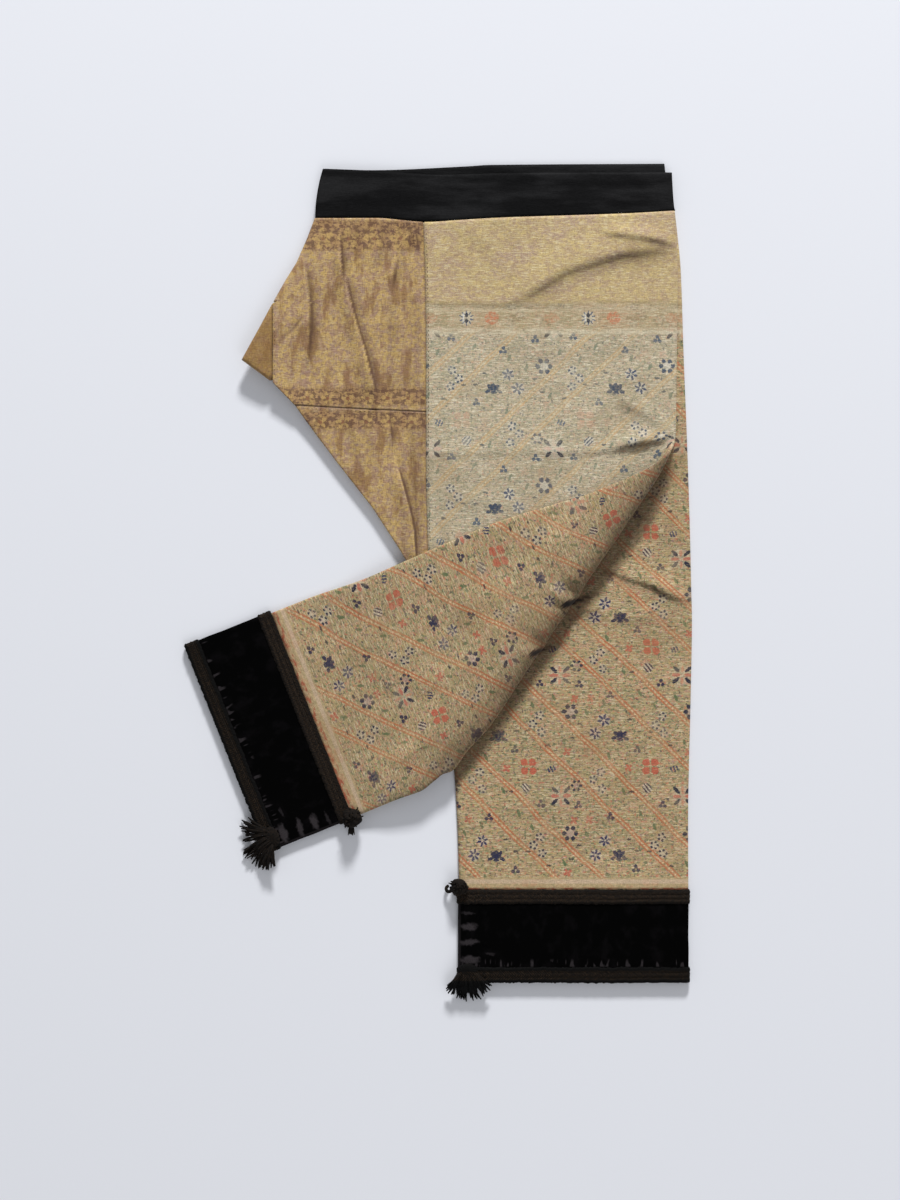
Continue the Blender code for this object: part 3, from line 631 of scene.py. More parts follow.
def front_gusset(silk):
    """The gusset's upper piece, which leaves its folded edge to the crotch patch below the cut."""
    ys = stations([(GUSSET_TOP, PATCH_CUT, 44), (PATCH_CUT, 207, 42), (207, 183, 14)])
    folded_rows = sum(1 for y in ys if y > PATCH_CUT)

    def left_at(y):
        edge = gusset_edge(y)
        return max(edge, PATCH_X + GAP / 2) - WING_HALF if y < PATCH_CUT else edge

    def fit_row(xs, y):
        foot = (along(CROSS_SEAM, xs) + GAP / 2 - 183) * smooth(y, 240, 183)
        return foot + (along(BAND_FOOT, xs) - GAP - GUSSET_TOP) * smooth(y, 330, GUSSET_TOP)

    def keep(i, j):
        return i < folded_rows or not GUSSET_COLUMNS <= j < GUSSET_COLUMNS + WING_TURNS

    wing_grid("silk_front_gusset", "front_gusset", ys, left_at, seam_x, lambda y: WING_HALF, WING_MID,
              GUSSET_COLUMNS, GUSSET_CREASES, fit_row, keep, silk)


def crotch_patch(silk):
    """The corner piece that wraps the gusset's tip."""
    right = PATCH_X - GAP / 2

    def half_at(y):
        return min(WING_HALF, max(0.6, 0.45 * (right - float(gusset_edge(y)))))

    ys = stations([(PATCH_TOP + 4.5, 230, 30), (230, PATCH_FOOT, 14)])
    wing_grid("silk_crotch_patch", "crotch_patch", ys, gusset_edge, lambda y: right, half_at, WING_MID,
              PATCH_COLUMNS, [], lambda xs, y: 0.0, None, silk)


def lower_gusset(leg_name, middle, folds, silk):
    """The gusset's lower piece on one leg."""
    def left_at(y):
        return gusset_edge(y) - 4.5 * smooth(y, 130, LOWER_TOP)

    def fit_row(xs, y):
        return (along(CROSS_SEAM, xs) - GAP / 2 - LOWER_TOP) * smooth(y, 130, LOWER_TOP)

    ys = stations([(LOWER_TOP, 130, 24), (130, GUSSET_TIP, 60)])
    node = f"{leg_name}_leg_gusset"
    wing_grid(f"silk_{node}", node, ys, left_at, seam_x, lambda y: HALF_LEG, middle, LOWER_COLUMNS, folds,
              fit_row, None, silk)


def ring_section(left, right, half, columns, turns, groove=0.0):
    """A closed flattened ring, with grooves along its edges: x, lift and outward direction."""
    x = np.linspace(left + half, right - half, columns + 1)
    bend = np.pi * np.arange(1, turns) / turns
    ones, zeros = np.ones(len(x)), np.zeros(len(x))
    reach = (half - groove * np.cos(bend * 2) ** 2 * np.sin(bend)) * np.sin(bend)
    xs = np.concatenate([x, right - half + reach, x[::-1], left + half - reach])
    out_x = np.concatenate([zeros, np.sin(bend), zeros, -np.sin(bend)])
    out_z = np.concatenate([ones, np.cos(bend), -ones, -np.cos(bend)])
    return xs, half * out_z, out_x, out_z


def back_gusset(silk):
    """The hidden layers, as one rounded form with a groove for each layer at its edges."""
    bottom, top = WALL + 2 * GAP, TOP_WING - WALL / 2 - 2 * GAP
    points, cloth = [], []
    for y in stations([(BACK_TOP, 230, 40), (230, BACK_FOOT, 14)]):
        left = max(float(gusset_edge(y)) + WALL / 2 + GAP + 0.6, PATCH_X + 1.2)
        xs, lifts, _, _ = ring_section(left, float(seam_x(y)), (top - bottom) / 2, 30, 12, LAYER_GROOVE)
        points.append(np.stack([xs, np.full(len(xs), y), (top + bottom) / 2 + lifts + tip_rise(xs)], -1))
        cloth.append(np.stack([xs, np.full(len(xs), y), np.zeros(len(xs))], -1))
    rows, around = len(points), len(points[0])
    faces = grid_faces(rows, around, ring=True)
    faces += [tuple(range(around)), tuple(reversed(range((rows - 1) * around, rows * around)))]
    obj = shell("silk_back_gusset", np.concatenate(points), np.concatenate(cloth), faces, silk)
    dress(obj, "back_gusset")


def ring_piece(name, place, span, rows, half, grow, right, columns, swell, material, wall, uneven=0.0):
    """A tube round the cuff; swell(round, across, y) pushes it outwards, and its edges may be uneven."""
    points, cloth = [], []
    xs, lifts, out_x, out_z = ring_section(CUFF_LEFT - grow, right + grow, half, columns, 8)
    steps = np.hypot(np.diff(xs, append=xs[0]), np.diff(lifts, append=lifts[0]))
    distance = np.concatenate([[0], np.cumsum(steps)[:-1]])
    start, end = [ripple(distance, 0.0, seed, 9, uneven) + ripple(distance, 0.0, other_seed, 3.4, uneven)
                  for seed, other_seed in ((41, 43), (47, 53))]
    for t in np.arange(rows + 1) / rows:
        y = span[0] + (span[1] - span[0]) * t
        push = swell(distance, t, y)
        points.append(place(xs + out_x * push, y + start * (1 - t) + end * t, lifts + out_z * push))
        cloth.append(np.stack([distance, np.full(len(xs), y), xs - CUFF_LEFT], -1))
    return grid_piece(name, points, cloth, material, wall, ring=True)


def velvet_swell(distance, t, y):
    """The velvet is a little full, and rolls in under both braids."""
    edge = smooth(min(t, 1 - t), 0, 0.16)
    return 0.55 * edge + ripple(distance, np.full(len(distance), y), 31, 34, 0.16) * edge


def braid_swell(distance, t, y):
    """Three cords side by side, each with a slanting twist."""
    cords = 0.55 * abs(math.sin(3 * math.pi * t)) - 0.25
    slope = 1 if int(t * 3) % 2 == 0 else -1
    twist = 0.26 * np.sin((distance + slope * t * 18.0) * 2 * math.pi / 3.6)
    fuzz = ripple(distance, t * 20.0, 61, 5, 0.16)
    return cords + twist + fuzz - 0.5 * (1 - float(smooth(min(t, 1 - t), 0, 0.08)))


def cuffs(velvet, braid):
    """A velvet tube on each leg, with a braid round each of its ends."""
    grow = VELVET_WALL / 2 + GAP + BRAID_WALL / 2
    for leg_name, place in (("under", under_place), ("upper", upper_place)):
        right = CUFF_RIGHT[leg_name]
        obj, area = ring_piece(f"velvet_{leg_name}_cuff", place, (CUFF_TOP, CUFF_HEM), 44, HALF_CUFF, 0.0,
                               right, 110, velvet_swell, velvet, VELVET_SHELL)
        dress(obj, f"{leg_name}_cuff")
        for part, span in (("top", TOP_BRAID), ("hem", HEM_BRAID)):
            obj, area = ring_piece(f"braid_{leg_name}_{part}", place, span, 24, HALF_CUFF + grow, grow,
                                   right, 280, braid_swell, braid, BRAID_SHELL, BRAID_WANDER)
            dress(obj, f"{leg_name}_{part}_braid")


# Knots, tassels and stitches


def spot_on(name, x, y):
    """Centre and flat directions on either leg's cuff."""
    place = upper_place if name.startswith("upper") else under_place
    here = place(x, y, 0.0)
    right = place(x + 1.0, y, 0.0) - here
    down = place(x, y - 1.0, 0.0) - here
    return here, right / np.linalg.norm(right), down / np.linalg.norm(down)


def cuff_top():
    """Height of the top braid's upper face."""
    return CUFF_MID + HALF_CUFF + VELVET_WALL / 2 + GAP + BRAID_WALL


def tube(path, radii, sides):
    """Points and faces of a closed tube along a path."""
    path = np.asarray(path, float)
    count = len(path)
    ahead = np.gradient(path, axis=0)
    ahead /= np.linalg.norm(ahead, axis=1)[:, None]
    side = np.cross(ahead, (0.0, 0.0, 1.0))
    side /= np.maximum(np.linalg.norm(side, axis=1), 1e-6)[:, None]
    over = np.cross(side, ahead)
    angle = 2 * np.pi * np.arange(sides) / sides
    ring = side[:, None] * np.cos(angle)[None, :, None] + over[:, None] * np.sin(angle)[None, :, None]
    points = (path[:, None] + ring * np.asarray(radii)[:, None, None]).reshape(-1, 3)
    faces = []
    for i in range(count - 1):
        for j in range(sides):
            k = (j + 1) % sides
            faces.append((i * sides + j, i * sides + k, (i + 1) * sides + k, (i + 1) * sides + j))
    last = (count - 1) * sides
    faces += [tuple(reversed(range(sides))), tuple(range(last, last + sides))]
    return points, faces


class Bundle:
    """Many small closed forms gathered into one mesh."""

    def __init__(self):
        self.points, self.faces, self.count = [], [], 0

    def add(self, points, faces):
        self.faces += [tuple(k + self.count for k in face) for face in faces]
        self.points.append(np.asarray(points, float))
        self.count += len(points)

    def made(self, name, material):
        points = np.concatenate(self.points)
        return shell(name, points, points, self.faces, material)


def ball_points(segments, rings, shape):
    """Points and faces of a ball; shape(longitude, latitude) gives its radius."""
    points = [(0.0, 0.0, shape(0.0, math.pi / 2))]
    for i in range(1, rings):
        lat = math.pi / 2 - math.pi * i / rings
        for j in range(segments):
            lon = 2 * math.pi * j / segments
            r, flat = shape(lon, lat), math.cos(lat)
            points.append((r * flat * math.cos(lon), r * flat * math.sin(lon), r * math.sin(lat)))
    points.append((0.0, 0.0, -shape(0.0, -math.pi / 2)))
    faces = [(0, 1 + j, 1 + (j + 1) % segments) for j in range(segments)]
    for i in range(rings - 2):
        a, b = 1 + i * segments, 1 + (i + 1) * segments
        faces += [(a + j, b + j, b + (j + 1) % segments, a + (j + 1) % segments) for j in range(segments)]
    a, last = 1 + (rings - 2) * segments, len(points) - 1
    faces += [(a + (j + 1) % segments, a + j, last) for j in range(segments)]
    return np.array(points), faces


def knots(braid):
    """Fluffy round knots of wound wool, each with a loose end."""
    for name, (x, y, radius) in KNOTS.items():
        centre, right, down = spot_on(name, x, y)
        centre = np.array([centre[0], centre[1], radius + 0.05])
        turn = np.array([right, down, (0.0, 0.0, 1.0)])

        def wound(lon, lat):
            lumps = math.sin(3 * lon + 1.3) * math.cos(2 * lat) + 0.7 * math.sin(5 * lon - 3 * lat)
            cords = abs(math.sin(5 * lon + 6 * lat))
            return radius * (KNOT_SKIN + 0.05 * lumps + 0.05 * cords)

        points, faces = ball_points(72, 40, wound)
        bundle = Bundle()
        bundle.add(points @ turn + centre, faces)
        draw = random.Random(len(name) + int(radius))
        for _ in range(KNOT_TUFTS):
            way = np.array([draw.gauss(0, 1), draw.gauss(0, 1), draw.gauss(0.5, 0.8)])
            way = way / np.linalg.norm(way)
            bend = np.array([draw.uniform(-1, 1), draw.uniform(-1, 1), -0.4])
            length = radius * draw.uniform(0.16, 0.30)
            skin = radius * KNOT_SKIN
            path = [centre + way * radius * 0.72, centre + way * (skin + 0.5 * length),
                    centre + way * (skin + length) + bend * 0.9]
            for point in path:
                point[2] = max(point[2], LOWEST_THREAD)
            bundle.add(*tube(path, [1.0, 0.85, 0.35], THREAD_SIDES))
        if name.startswith("under"):
            hook = centre - right * (radius + 0.6) + down * 2.2
            turns = np.linspace(-0.4, 1.45 * math.pi, 14)
            path = [hook + right * 2.8 * math.cos(a) + down * 2.8 * math.sin(a) for a in turns]
            path = np.array([centre - right * radius * 0.6] + path)
            path[:, 2] = np.linspace(centre[2], 2.4, len(path))
            bundle.add(*tube(path, np.linspace(2.0, 1.7, len(path)), 7))
        else:
            way = -right * 0.62 + down * 0.30
            way = way / np.linalg.norm(way)
            for _ in range(KNOT_ENDS):
                side = np.cross(way, (0, 0, 1)) * draw.uniform(-3.2, 3.2)
                reach = draw.uniform(4.5, 8.0)
                path = [centre + side * 0.5 + way * radius * 0.6,
                        centre + side + way * (radius + 0.4 * reach),
                        centre + side * 1.3 + way * (radius + reach)]
                for step, point in enumerate(path):
                    point[2] = max(1.2, centre[2] - 3.4 * step)
                bundle.add(*tube(path, [1.2, 1.0, 0.5], THREAD_SIDES))
        obj = bundle.made(f"cord_{name}", braid)
        dress(obj, name)


def tassels(braid):
    """A bulky wound head with woolly threads that fan out and drop over the hem."""
    for name, (x, y, lean, spread, longest) in TASSELS.items():
        centre, right, down = spot_on(name, x, y)
        half_width, half_length, half_height = TASSEL_HEAD
        centre = np.array([centre[0], centre[1], cuff_top() + GAP + half_height + 0.2])
        hem = spot_on(name, 40.0, HEM_BRAID[1])[0]
        points, faces = ball_points(64, 32, lambda lon, lat: 0.90 + 0.10 * abs(math.sin(7 * lon + 2 * lat)))
        turn = np.array([right * half_width, down * half_length, (0.0, 0.0, half_height)])
        bundle = Bundle()
        bundle.add(points @ turn + centre, faces)
        draw = random.Random(17 + len(name))
        for k in range(TASSEL_THREADS):
            share = (2 * ((k * 0.618034) % 1.0) - 1) * 0.96 + draw.uniform(-0.06, 0.06)
            layer = draw.random()
            angle = math.radians(lean + spread * share + draw.gauss(0, 7))
            way = right * math.sin(angle) + down * math.cos(angle)
            root = centre + right * half_width * 0.85 * share + np.array([0, 0, -1.4 + 3.2 * layer])
            root = root + down * half_length * (0.1 + 0.3 * math.cos(share))
            length = longest * (1 - 0.20 * abs(share)) * draw.uniform(0.66, 1.04)
            curl = draw.gauss(0, 0.13)
            low = 1.2 + 4.6 * layer
            path = []
            for t in np.linspace(0, 1, len(TASSEL_RADII)):
                point = root + way * length * t + np.cross(way, (0, 0, 1)) * length * curl * t * t
                drop = float(smooth(float((point - hem) @ down), 0.0, 13.0))
                point[2] = root[2] + (low - root[2]) * drop + 0.6 * math.sin(5 * t + k)
                path.append(point)
            path = np.array(path)
            path[:, 2] = np.maximum(path[:, 2], LOWEST_THREAD)
            bundle.add(*tube(path, TASSEL_RADII, THREAD_SIDES))
        obj = bundle.made(f"threads_{name}", braid)
        dress(obj, name)


def stitch_run(bundle, route, spacing, length, radius):
    """Short stitches along a route of points."""
    route = np.asarray(route, float)
    gaps = np.linalg.norm(np.diff(route, axis=0), axis=1)
    reach = np.concatenate([[0], np.cumsum(gaps)])
    at = 0.5 * spacing
    while at + length < reach[-1]:
        spots = at + length * np.array([0, 0.33, 0.67, 1])
        ends = np.stack([np.interp(spots, reach, route[:, k]) for k in range(3)], -1)
        ends[0, 2] -= 0.35
        ends[-1, 2] -= 0.35
        bundle.add(*tube(ends, [radius * 0.7, radius, radius, radius * 0.7], THREAD_SIDES))
        at += spacing


def stitches(thread):
    """Hand stitches along the seams of the gussets."""
    bundle = Bundle()
    top = TOP_WING + WALL / 2 - 0.35
    ys = np.linspace(370, 40, 80)
    xs = along(UPPER_LEG, ys) + 2.6
    stitch_run(bundle, np.stack([xs, ys, np.full(80, top + 0.15)], -1), 4.4, 2.6, 0.28)
    xs = np.linspace(-146, -20, 40)
    ys = along(CROSS_SEAM, xs) - 2.4
    stitch_run(bundle, np.stack([xs, ys, top + 0.25 + creases(xs, ys, LOWER_CREASES)[0] + tip_rise(xs)], -1),
               4.6, 2.2, 0.25)
    ys = np.linspace(280, 212, 20)
    xs = np.full(20, PATCH_X + 2.2)
    stitch_run(bundle, np.stack([xs, ys, top + 0.3 + tip_rise(xs)], -1), 4.4, 2.2, 0.25)
    obj = bundle.made("seam_stitches", thread)
    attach(obj, "root")


# Materials


def srgb(red, green, blue):
    """A colour given as it looks on screen, from 0 to 255."""
    parts = [c / 255 for c in (red, green, blue)]
    return tuple(c / 12.92 if c <= 0.04045 else ((c + 0.055) / 1.055) ** 2.4 for c in parts) + (1.0,)


class Field:
    """A number or vector of a node tree that takes arithmetic, so that a pattern reads as a formula."""

    def __init__(self, graph, socket):
        self.graph, self.socket = graph, socket

    def __add__(self, other):
        return self.graph.math("ADD", self, other)

    def __sub__(self, other):
        return self.graph.math("SUBTRACT", self, other)

    def __rsub__(self, other):
        return self.graph.math("SUBTRACT", other, self)

    def __mul__(self, other):
        return self.graph.math("MULTIPLY", self, other)

    def __truediv__(self, other):
        return self.graph.math("DIVIDE", self, other)

    def __pow__(self, other):
        return self.graph.math("POWER", self, other)

    def __abs__(self):
        return self.graph.math("ABSOLUTE", self)


class Graph:
    """A material's node tree, with a short call for each kind of node that is used."""

    def __init__(self, name):
        self.material = bpy.data.materials.new(name)
        self.material.use_nodes = True
        self.tree = self.material.node_tree
        self.cloth = self.attribute("cloth", "Vector")

    def put(self, value, socket):
        """Link a field to a socket, or set the socket to a constant."""
        if isinstance(value, Field):
            self.tree.links.new(value.socket, socket)
        else:
            socket.default_value = value

    def node(self, kind, inputs, output=0, **settings):
        """One output of a new node, with its settings and its inputs by place or name."""
        node = self.tree.nodes.new(kind)
        for name, value in settings.items():
            setattr(node, name, value)
        for key, value in inputs.items() if isinstance(inputs, dict) else enumerate(inputs):
            self.put(value, node.inputs[key])
        return Field(self, node.outputs[output])

    def attribute(self, name, output):
        return self.node("ShaderNodeAttribute", [], output, attribute_name=name)

    def math(self, operation, *values):
        """Arithmetic on numbers, or on vectors where one of the values is a vector."""
        vectors = [isinstance(v, tuple) or isinstance(v, Field) and v.socket.type != "VALUE" for v in values]
        kind = "ShaderNodeVectorMath" if any(vectors) else "ShaderNodeMath"
        return self.node(kind, values, operation=operation)

    def length(self, vector):
        return self.node("ShaderNodeVectorMath", [vector], "Value", operation="LENGTH")

    def wrap(self, value, half):
        """The value brought to between -half and half, over and over."""
        low = tuple(-part for part in half) if isinstance(half, tuple) else -half
        return self.math("WRAP", value, half, low)

    def most(self, one, other):
        return self.math("MAXIMUM", one, other)

    def least(self, one, other):
        return self.math("MINIMUM", one, other)

    def parts(self, vector):
        """X, Y and Z of a vector."""
        return [self.node("ShaderNodeSeparateXYZ", [vector], k) for k in range(3)]

    def joined(self, x, y):
        return self.node("ShaderNodeCombineXYZ", [x, y])

    def band(self, value, low, high, start=0.0, end=1.0):
        """Soft step from start at low to end at high."""
        inputs = [value, low, high, start, end]
        return self.node("ShaderNodeMapRange", inputs, interpolation_type="SMOOTHSTEP")

    def mix(self, share, low, high):
        """From low to high: colours of the tree, or plain ones as they look on screen, from 0 to 255."""
        low, high = (srgb(*colour) if isinstance(colour, tuple) else colour for colour in (low, high))
        return self.node("ShaderNodeMix", {0: share, 6: low, 7: high}, 2, data_type="RGBA")

    def noise(self, vector, scale, detail=2.0, rough=0.5, output="Fac"):
        inputs = {"Vector": vector, "Scale": scale, "Detail": detail, "Roughness": rough}
        return self.node("ShaderNodeTexNoise", inputs, output)

    def streaks(self, vector, across, up, detail, rough):
        """Noise with a scale of its own in each direction."""
        return self.noise(vector * (across, up, 1.0), 1.0, detail, rough)

    def wander(self, vector, scale, reach, detail=2.0, rough=0.6):
        """Uneven shifts, by up to half of reach in each direction."""
        return (self.noise(vector, scale, detail, rough, "Color") - (0.5, 0.5, 0.5)) * reach

    def finish(self, colour, roughness, relief=None, strength=0.6, sheen=0.0, tint=WHITE, specular=0.2):
        """The material, from its colour, roughness and relief and the constants of its shader."""
        inputs = self.tree.nodes["Principled BSDF"].inputs
        self.put(colour, inputs["Base Color"])
        self.put(roughness, inputs["Roughness"])
        inputs["Sheen Weight"].default_value = sheen
        inputs["Sheen Tint"].default_value = tint
        inputs["Specular IOR Level"].default_value = specular
        if relief:
            bump = {"Strength": strength, "Distance": RELIEF * MM, "Height": relief}
            self.put(self.node("ShaderNodeBump", bump), inputs["Normal"])
        return self.material


def threads(g, flat, warp_share=0.5, weft_share=0.75, level=0.86, specks=0.55):
    """Brightness of each spot of a cloth, about the level, from its uneven warp and weft; also both masks."""
    warp = g.streaks(flat, 1.15, 0.16, 2.0, 0.65)
    weft = g.streaks(flat, 0.2, 1.05, 2.0, 0.65)
    speck = g.streaks(flat, 0.75, 0.85, 1.0, 0.5)
    light = (warp - 0.5) * warp_share + (weft - 0.5) * weft_share + (speck - 0.5) * specks + level
    return light, warp, weft


def flecks(g, flat, colour, rows):
    """Small flecks; a row gives scales across and along, an offset, a threshold, a share and a colour."""
    for across, up, offset, level, share, shade in rows:
        placed = flat * (across, up, 1.0) + (offset, 2.0 * offset, 0.0)
        mask = g.band(g.noise(placed, 1.0, 1.0, 0.5), level, level + 0.05, 0.0, share)
        colour = g.mix(mask, colour, shade)
    return colour


def with_painted_shade(g, colour, shade=(70, 50, 32), share=0.86):
    """The colour darkened by its painted shade (creases, seams, the fold, its tucks and the flap's cast
    shadow, with a faint tone on the flap); nearly black where the painted shade lies above 1.
    """
    painted_shade = g.attribute("painted_shade", "Fac")
    colour = g.mix(painted_shade * share, colour, shade)
    return g.mix(g.band(painted_shade, 1.0, 1.5, 0.0, 0.92), colour, (16, 12, 9))


# Motifs of the figured silk: offsets from the star in millimetres, to the right and towards the waist
ROSETTES = [
    # x, y
    (-20.0, -43.0), (-27.5, -51.5), (-19.0, -60.0), (43.0, 24.0), (35.0, 16.0), (45.0, 6.5),
]
STARBURSTS = [
    # x, y
    (37.0, -62.0),
    (46.5, -47.5),
]
TREFOILS = [
    # x, y
    (19.0, -10.5), (-21.0, -9.0), (53.0, -22.0), (-47.0, 48.0),
]
REDS = [
    # x, y
    (14.5, -25.5), (31.5, -25.0), (-55.5, 28.5), (8.0, 45.0),
]
DASHES = [
    # x, y
    (-52.0, 3.5), (-33.0, -58.0), (12.0, 59.0), (72.0, -46.0), (82.0, -58.0), (-12.0, 52.0), (20.0, -52.0),
]
LEAVES = [
    # x, y
    (28.0, -40.0), (-6.0, -24.0), (50.0, 40.0), (-44.0, -18.0), (4.0, 55.0), (-60.0, 4.0), (46.0, -30.0),
    (-28.0, -32.0),
]
IRIS = [
    # x, y, half width, half height, turn
    (0.0, 0.8, 3.4, 5.4, 0.0), (3.6, 1.2, 2.4, 4.6, -0.6), (6.4, -3.0, 3.2, 2.0, -0.3),
    (0.0, -4.2, 3.6, 1.8, 0.0),
]
# Where the two stripes cross the repeat, as shares of it
STRIPES = (0.286, 0.649)
# Foot of the leg panels in the weave
FOOT_OF_WEAVE = -473.0
BORDER_CLUSTERS = [
    # x, half width, half height, colour, share
    (-62.8, 8.0, 7.5, (196, 112, 76), 0.75),
    (2.5, 9.0, 6.0, (190, 132, 96), 0.50),
    (40.5, 12.0, 4.0, (132, 112, 78), 0.45),
]
BORDER_Y, BORDER_BUSH_X = 136.5, -36.3
BORDER_LINES = [
    # height, half width, share, colour
    (151.5, 2.4, 0.50, (142, 126, 86)),
    (145.0, 2.0, 0.45, (218, 204, 170)),
    (122.5, 2.6, 0.55, (220, 210, 182)),
]
GOLD_BORDERS = [
    # middle, half height, beat, shift
    (360.5, 17.0, 27.0, -14.0),
    (192.0, 10.5, 21.0, -12.0),
    (167.5, 11.0, 24.0, -5.0),
]
# Pale patches at the left end of a cuff: worn pile with a painted sheen
VELVET_PATCHES = [
    # x from the end, y, half width, half height, share
    (8.0, -349.0, 8.0, 2.4, 0.45), (9.5, -363.5, 10.5, 4.6, 0.85), (10.5, -379.5, 11.5, 3.6, 0.80),
    (11.0, -398.0, 12.0, 5.0, 0.95), (32.0, -392.0, 7.0, 1.2, 0.35),
]


def around(g, flat, x, y):
    """Coordinates round the nearest copy of a motif's centre."""
    return g.wrap(flat - (x, y, 0.0), (REPEAT[0] / 2, REPEAT[1] / 2, 1.0))


def nearest_of(g, flat, centres):
    """Coordinates round the nearest of several centres."""
    best = around(g, flat, *centres[0])
    for centre in centres[1:]:
        other = around(g, flat, *centre)
        nearer = g.math("LESS_THAN", g.length(other), g.length(best))
        best = g.node("ShaderNodeMix", {0: nearer, 4: best, 5: other}, 1, data_type="VECTOR")
    return best


def polar(g, spot):
    """Distance from a centre, and angle round it."""
    x, y, _ = g.parts(spot)
    return g.length(spot), g.math("ARCTAN2", y, x)


def petals(g, spot, radius, count, turn=0.0, hollow=0.2, narrow=1.0):
    """Mask of petals round a centre."""
    far, angle = polar(g, spot)
    swing = abs(g.math("COSINE", (angle - turn) * (count / 2)))
    reach = swing ** narrow * radius
    inside = g.band(reach - far, 0.0, 0.5)
    return inside * g.band(far, hollow * radius, hollow * radius + 0.5)


def dots(g, spot, ring, size, count):
    """Mask of dots set in a ring."""
    far, angle = polar(g, spot)
    share = g.wrap(angle, math.pi / count)
    x = far * g.math("COSINE", share) - ring
    y = far * g.math("SINE", share)
    return g.band(g.length(g.joined(x, y)), size, size - 0.5)


def turned(g, spot, turn):
    """X and y of a spot in axes turned by an angle."""
    x, y, _ = g.parts(spot)
    if not turn:
        return x, y
    c, s = math.cos(turn), math.sin(turn)
    return x * c + y * s, y * c - x * s


def oval(g, spot, half_x, half_y, turn=0.0):
    """Mask of an oval."""
    x, y = turned(g, spot, turn)
    return g.band(g.length(g.joined(x / half_x, y / half_y)), 1.0, 0.82)


def bars(g, spot, turn, half):
    """Mask of bars side by side."""
    return g.band(abs(g.wrap(turned(g, spot, turn)[0], 1.6)), half, half - 0.4)


def folded(g, spot, x, y, both=True):
    """Coordinates round a point and its mirror images, left and right and, if both, also up and down."""
    sx, sy, _ = g.parts(spot)
    up = abs(sy) if both else sy
    return g.joined(abs(sx) - x, up - y)


def stripe_masks(g, flat):
    """Slanting stripes: the two orange lines, the ground between them and the pale beads."""
    x, y, _ = g.parts(flat)
    slant = x / REPEAT[0] + y / REPEAT[1]
    across = REPEAT[0] * REPEAT[1] / math.hypot(*REPEAT)
    beat = g.wrap((x - y) * math.sqrt(0.5), 2.1) * 0.85
    masks = []
    for shift in STRIPES:
        near = abs(g.wrap(slant - shift, 0.5) * across)
        masks.append((g.band(abs(near - 1.95), 1.15, 0.45), g.band(near, 3.3, 2.2),
                      g.band(g.length(g.joined(beat, near)), 1.15, 0.5)))
    return [g.most(one, other) for one, other in zip(*masks)]


def silk_ground(g, flat_raw, flat, paint):
    """Patchy beige ground of the figured silk, with a few shades of stray threads."""
    patchy = g.noise(flat_raw, 0.03, 3.0, 0.6)
    colour = g.mix(g.band(patchy, 0.38, 0.62), paint((186, 162, 120), (200, 185, 156)),
                   paint((168, 150, 112), (184, 172, 142)))
    pink = g.noise(flat_raw + (90.0, 40.0, 0.0), 0.07, 3.0, 0.6)
    colour = g.mix(g.band(pink, 0.50, 0.66, 0.0, 0.65), colour, paint((194, 152, 124), (194, 170, 142)))
    colour = flecks(g, flat_raw, colour, [
        (0.05, 0.09, 61.0, 0.52, 0.40, paint((158, 150, 102), (176, 169, 140))),
        (0.16, 0.62, 5.0, 0.55, 0.50, paint((146, 144, 98), (170, 162, 132))),
        (0.13, 0.66, 17.0, 0.57, 0.50, paint((204, 148, 124), (206, 178, 152))),
        (0.10, 0.74, 29.0, 0.545, 0.62, paint((218, 202, 166), (230, 220, 194))),
        (0.09, 0.50, 37.0, 0.58, 0.45, paint((146, 124, 96), (150, 144, 124))),
        (0.24, 0.66, 41.0, 0.58, 0.60, paint((124, 100, 76), (142, 134, 114))),
        (0.30, 0.50, 53.0, 0.61, 0.45, paint((200, 170, 96), (204, 186, 136))),
    ])
    return flecks(g, flat, colour, [
        (0.24, 0.34, 67.0, 0.592, 0.72, paint((98, 112, 80), (148, 148, 122))),
        (0.38, 0.30, 79.0, 0.645, 0.75, paint((72, 62, 62), (104, 104, 100))),
        (0.30, 0.30, 91.0, 0.625, 0.65, paint((188, 108, 84), (200, 160, 132))),
        (0.30, 0.34, 103.0, 0.650, 0.60, paint((150, 112, 120), (170, 156, 152))),
    ])


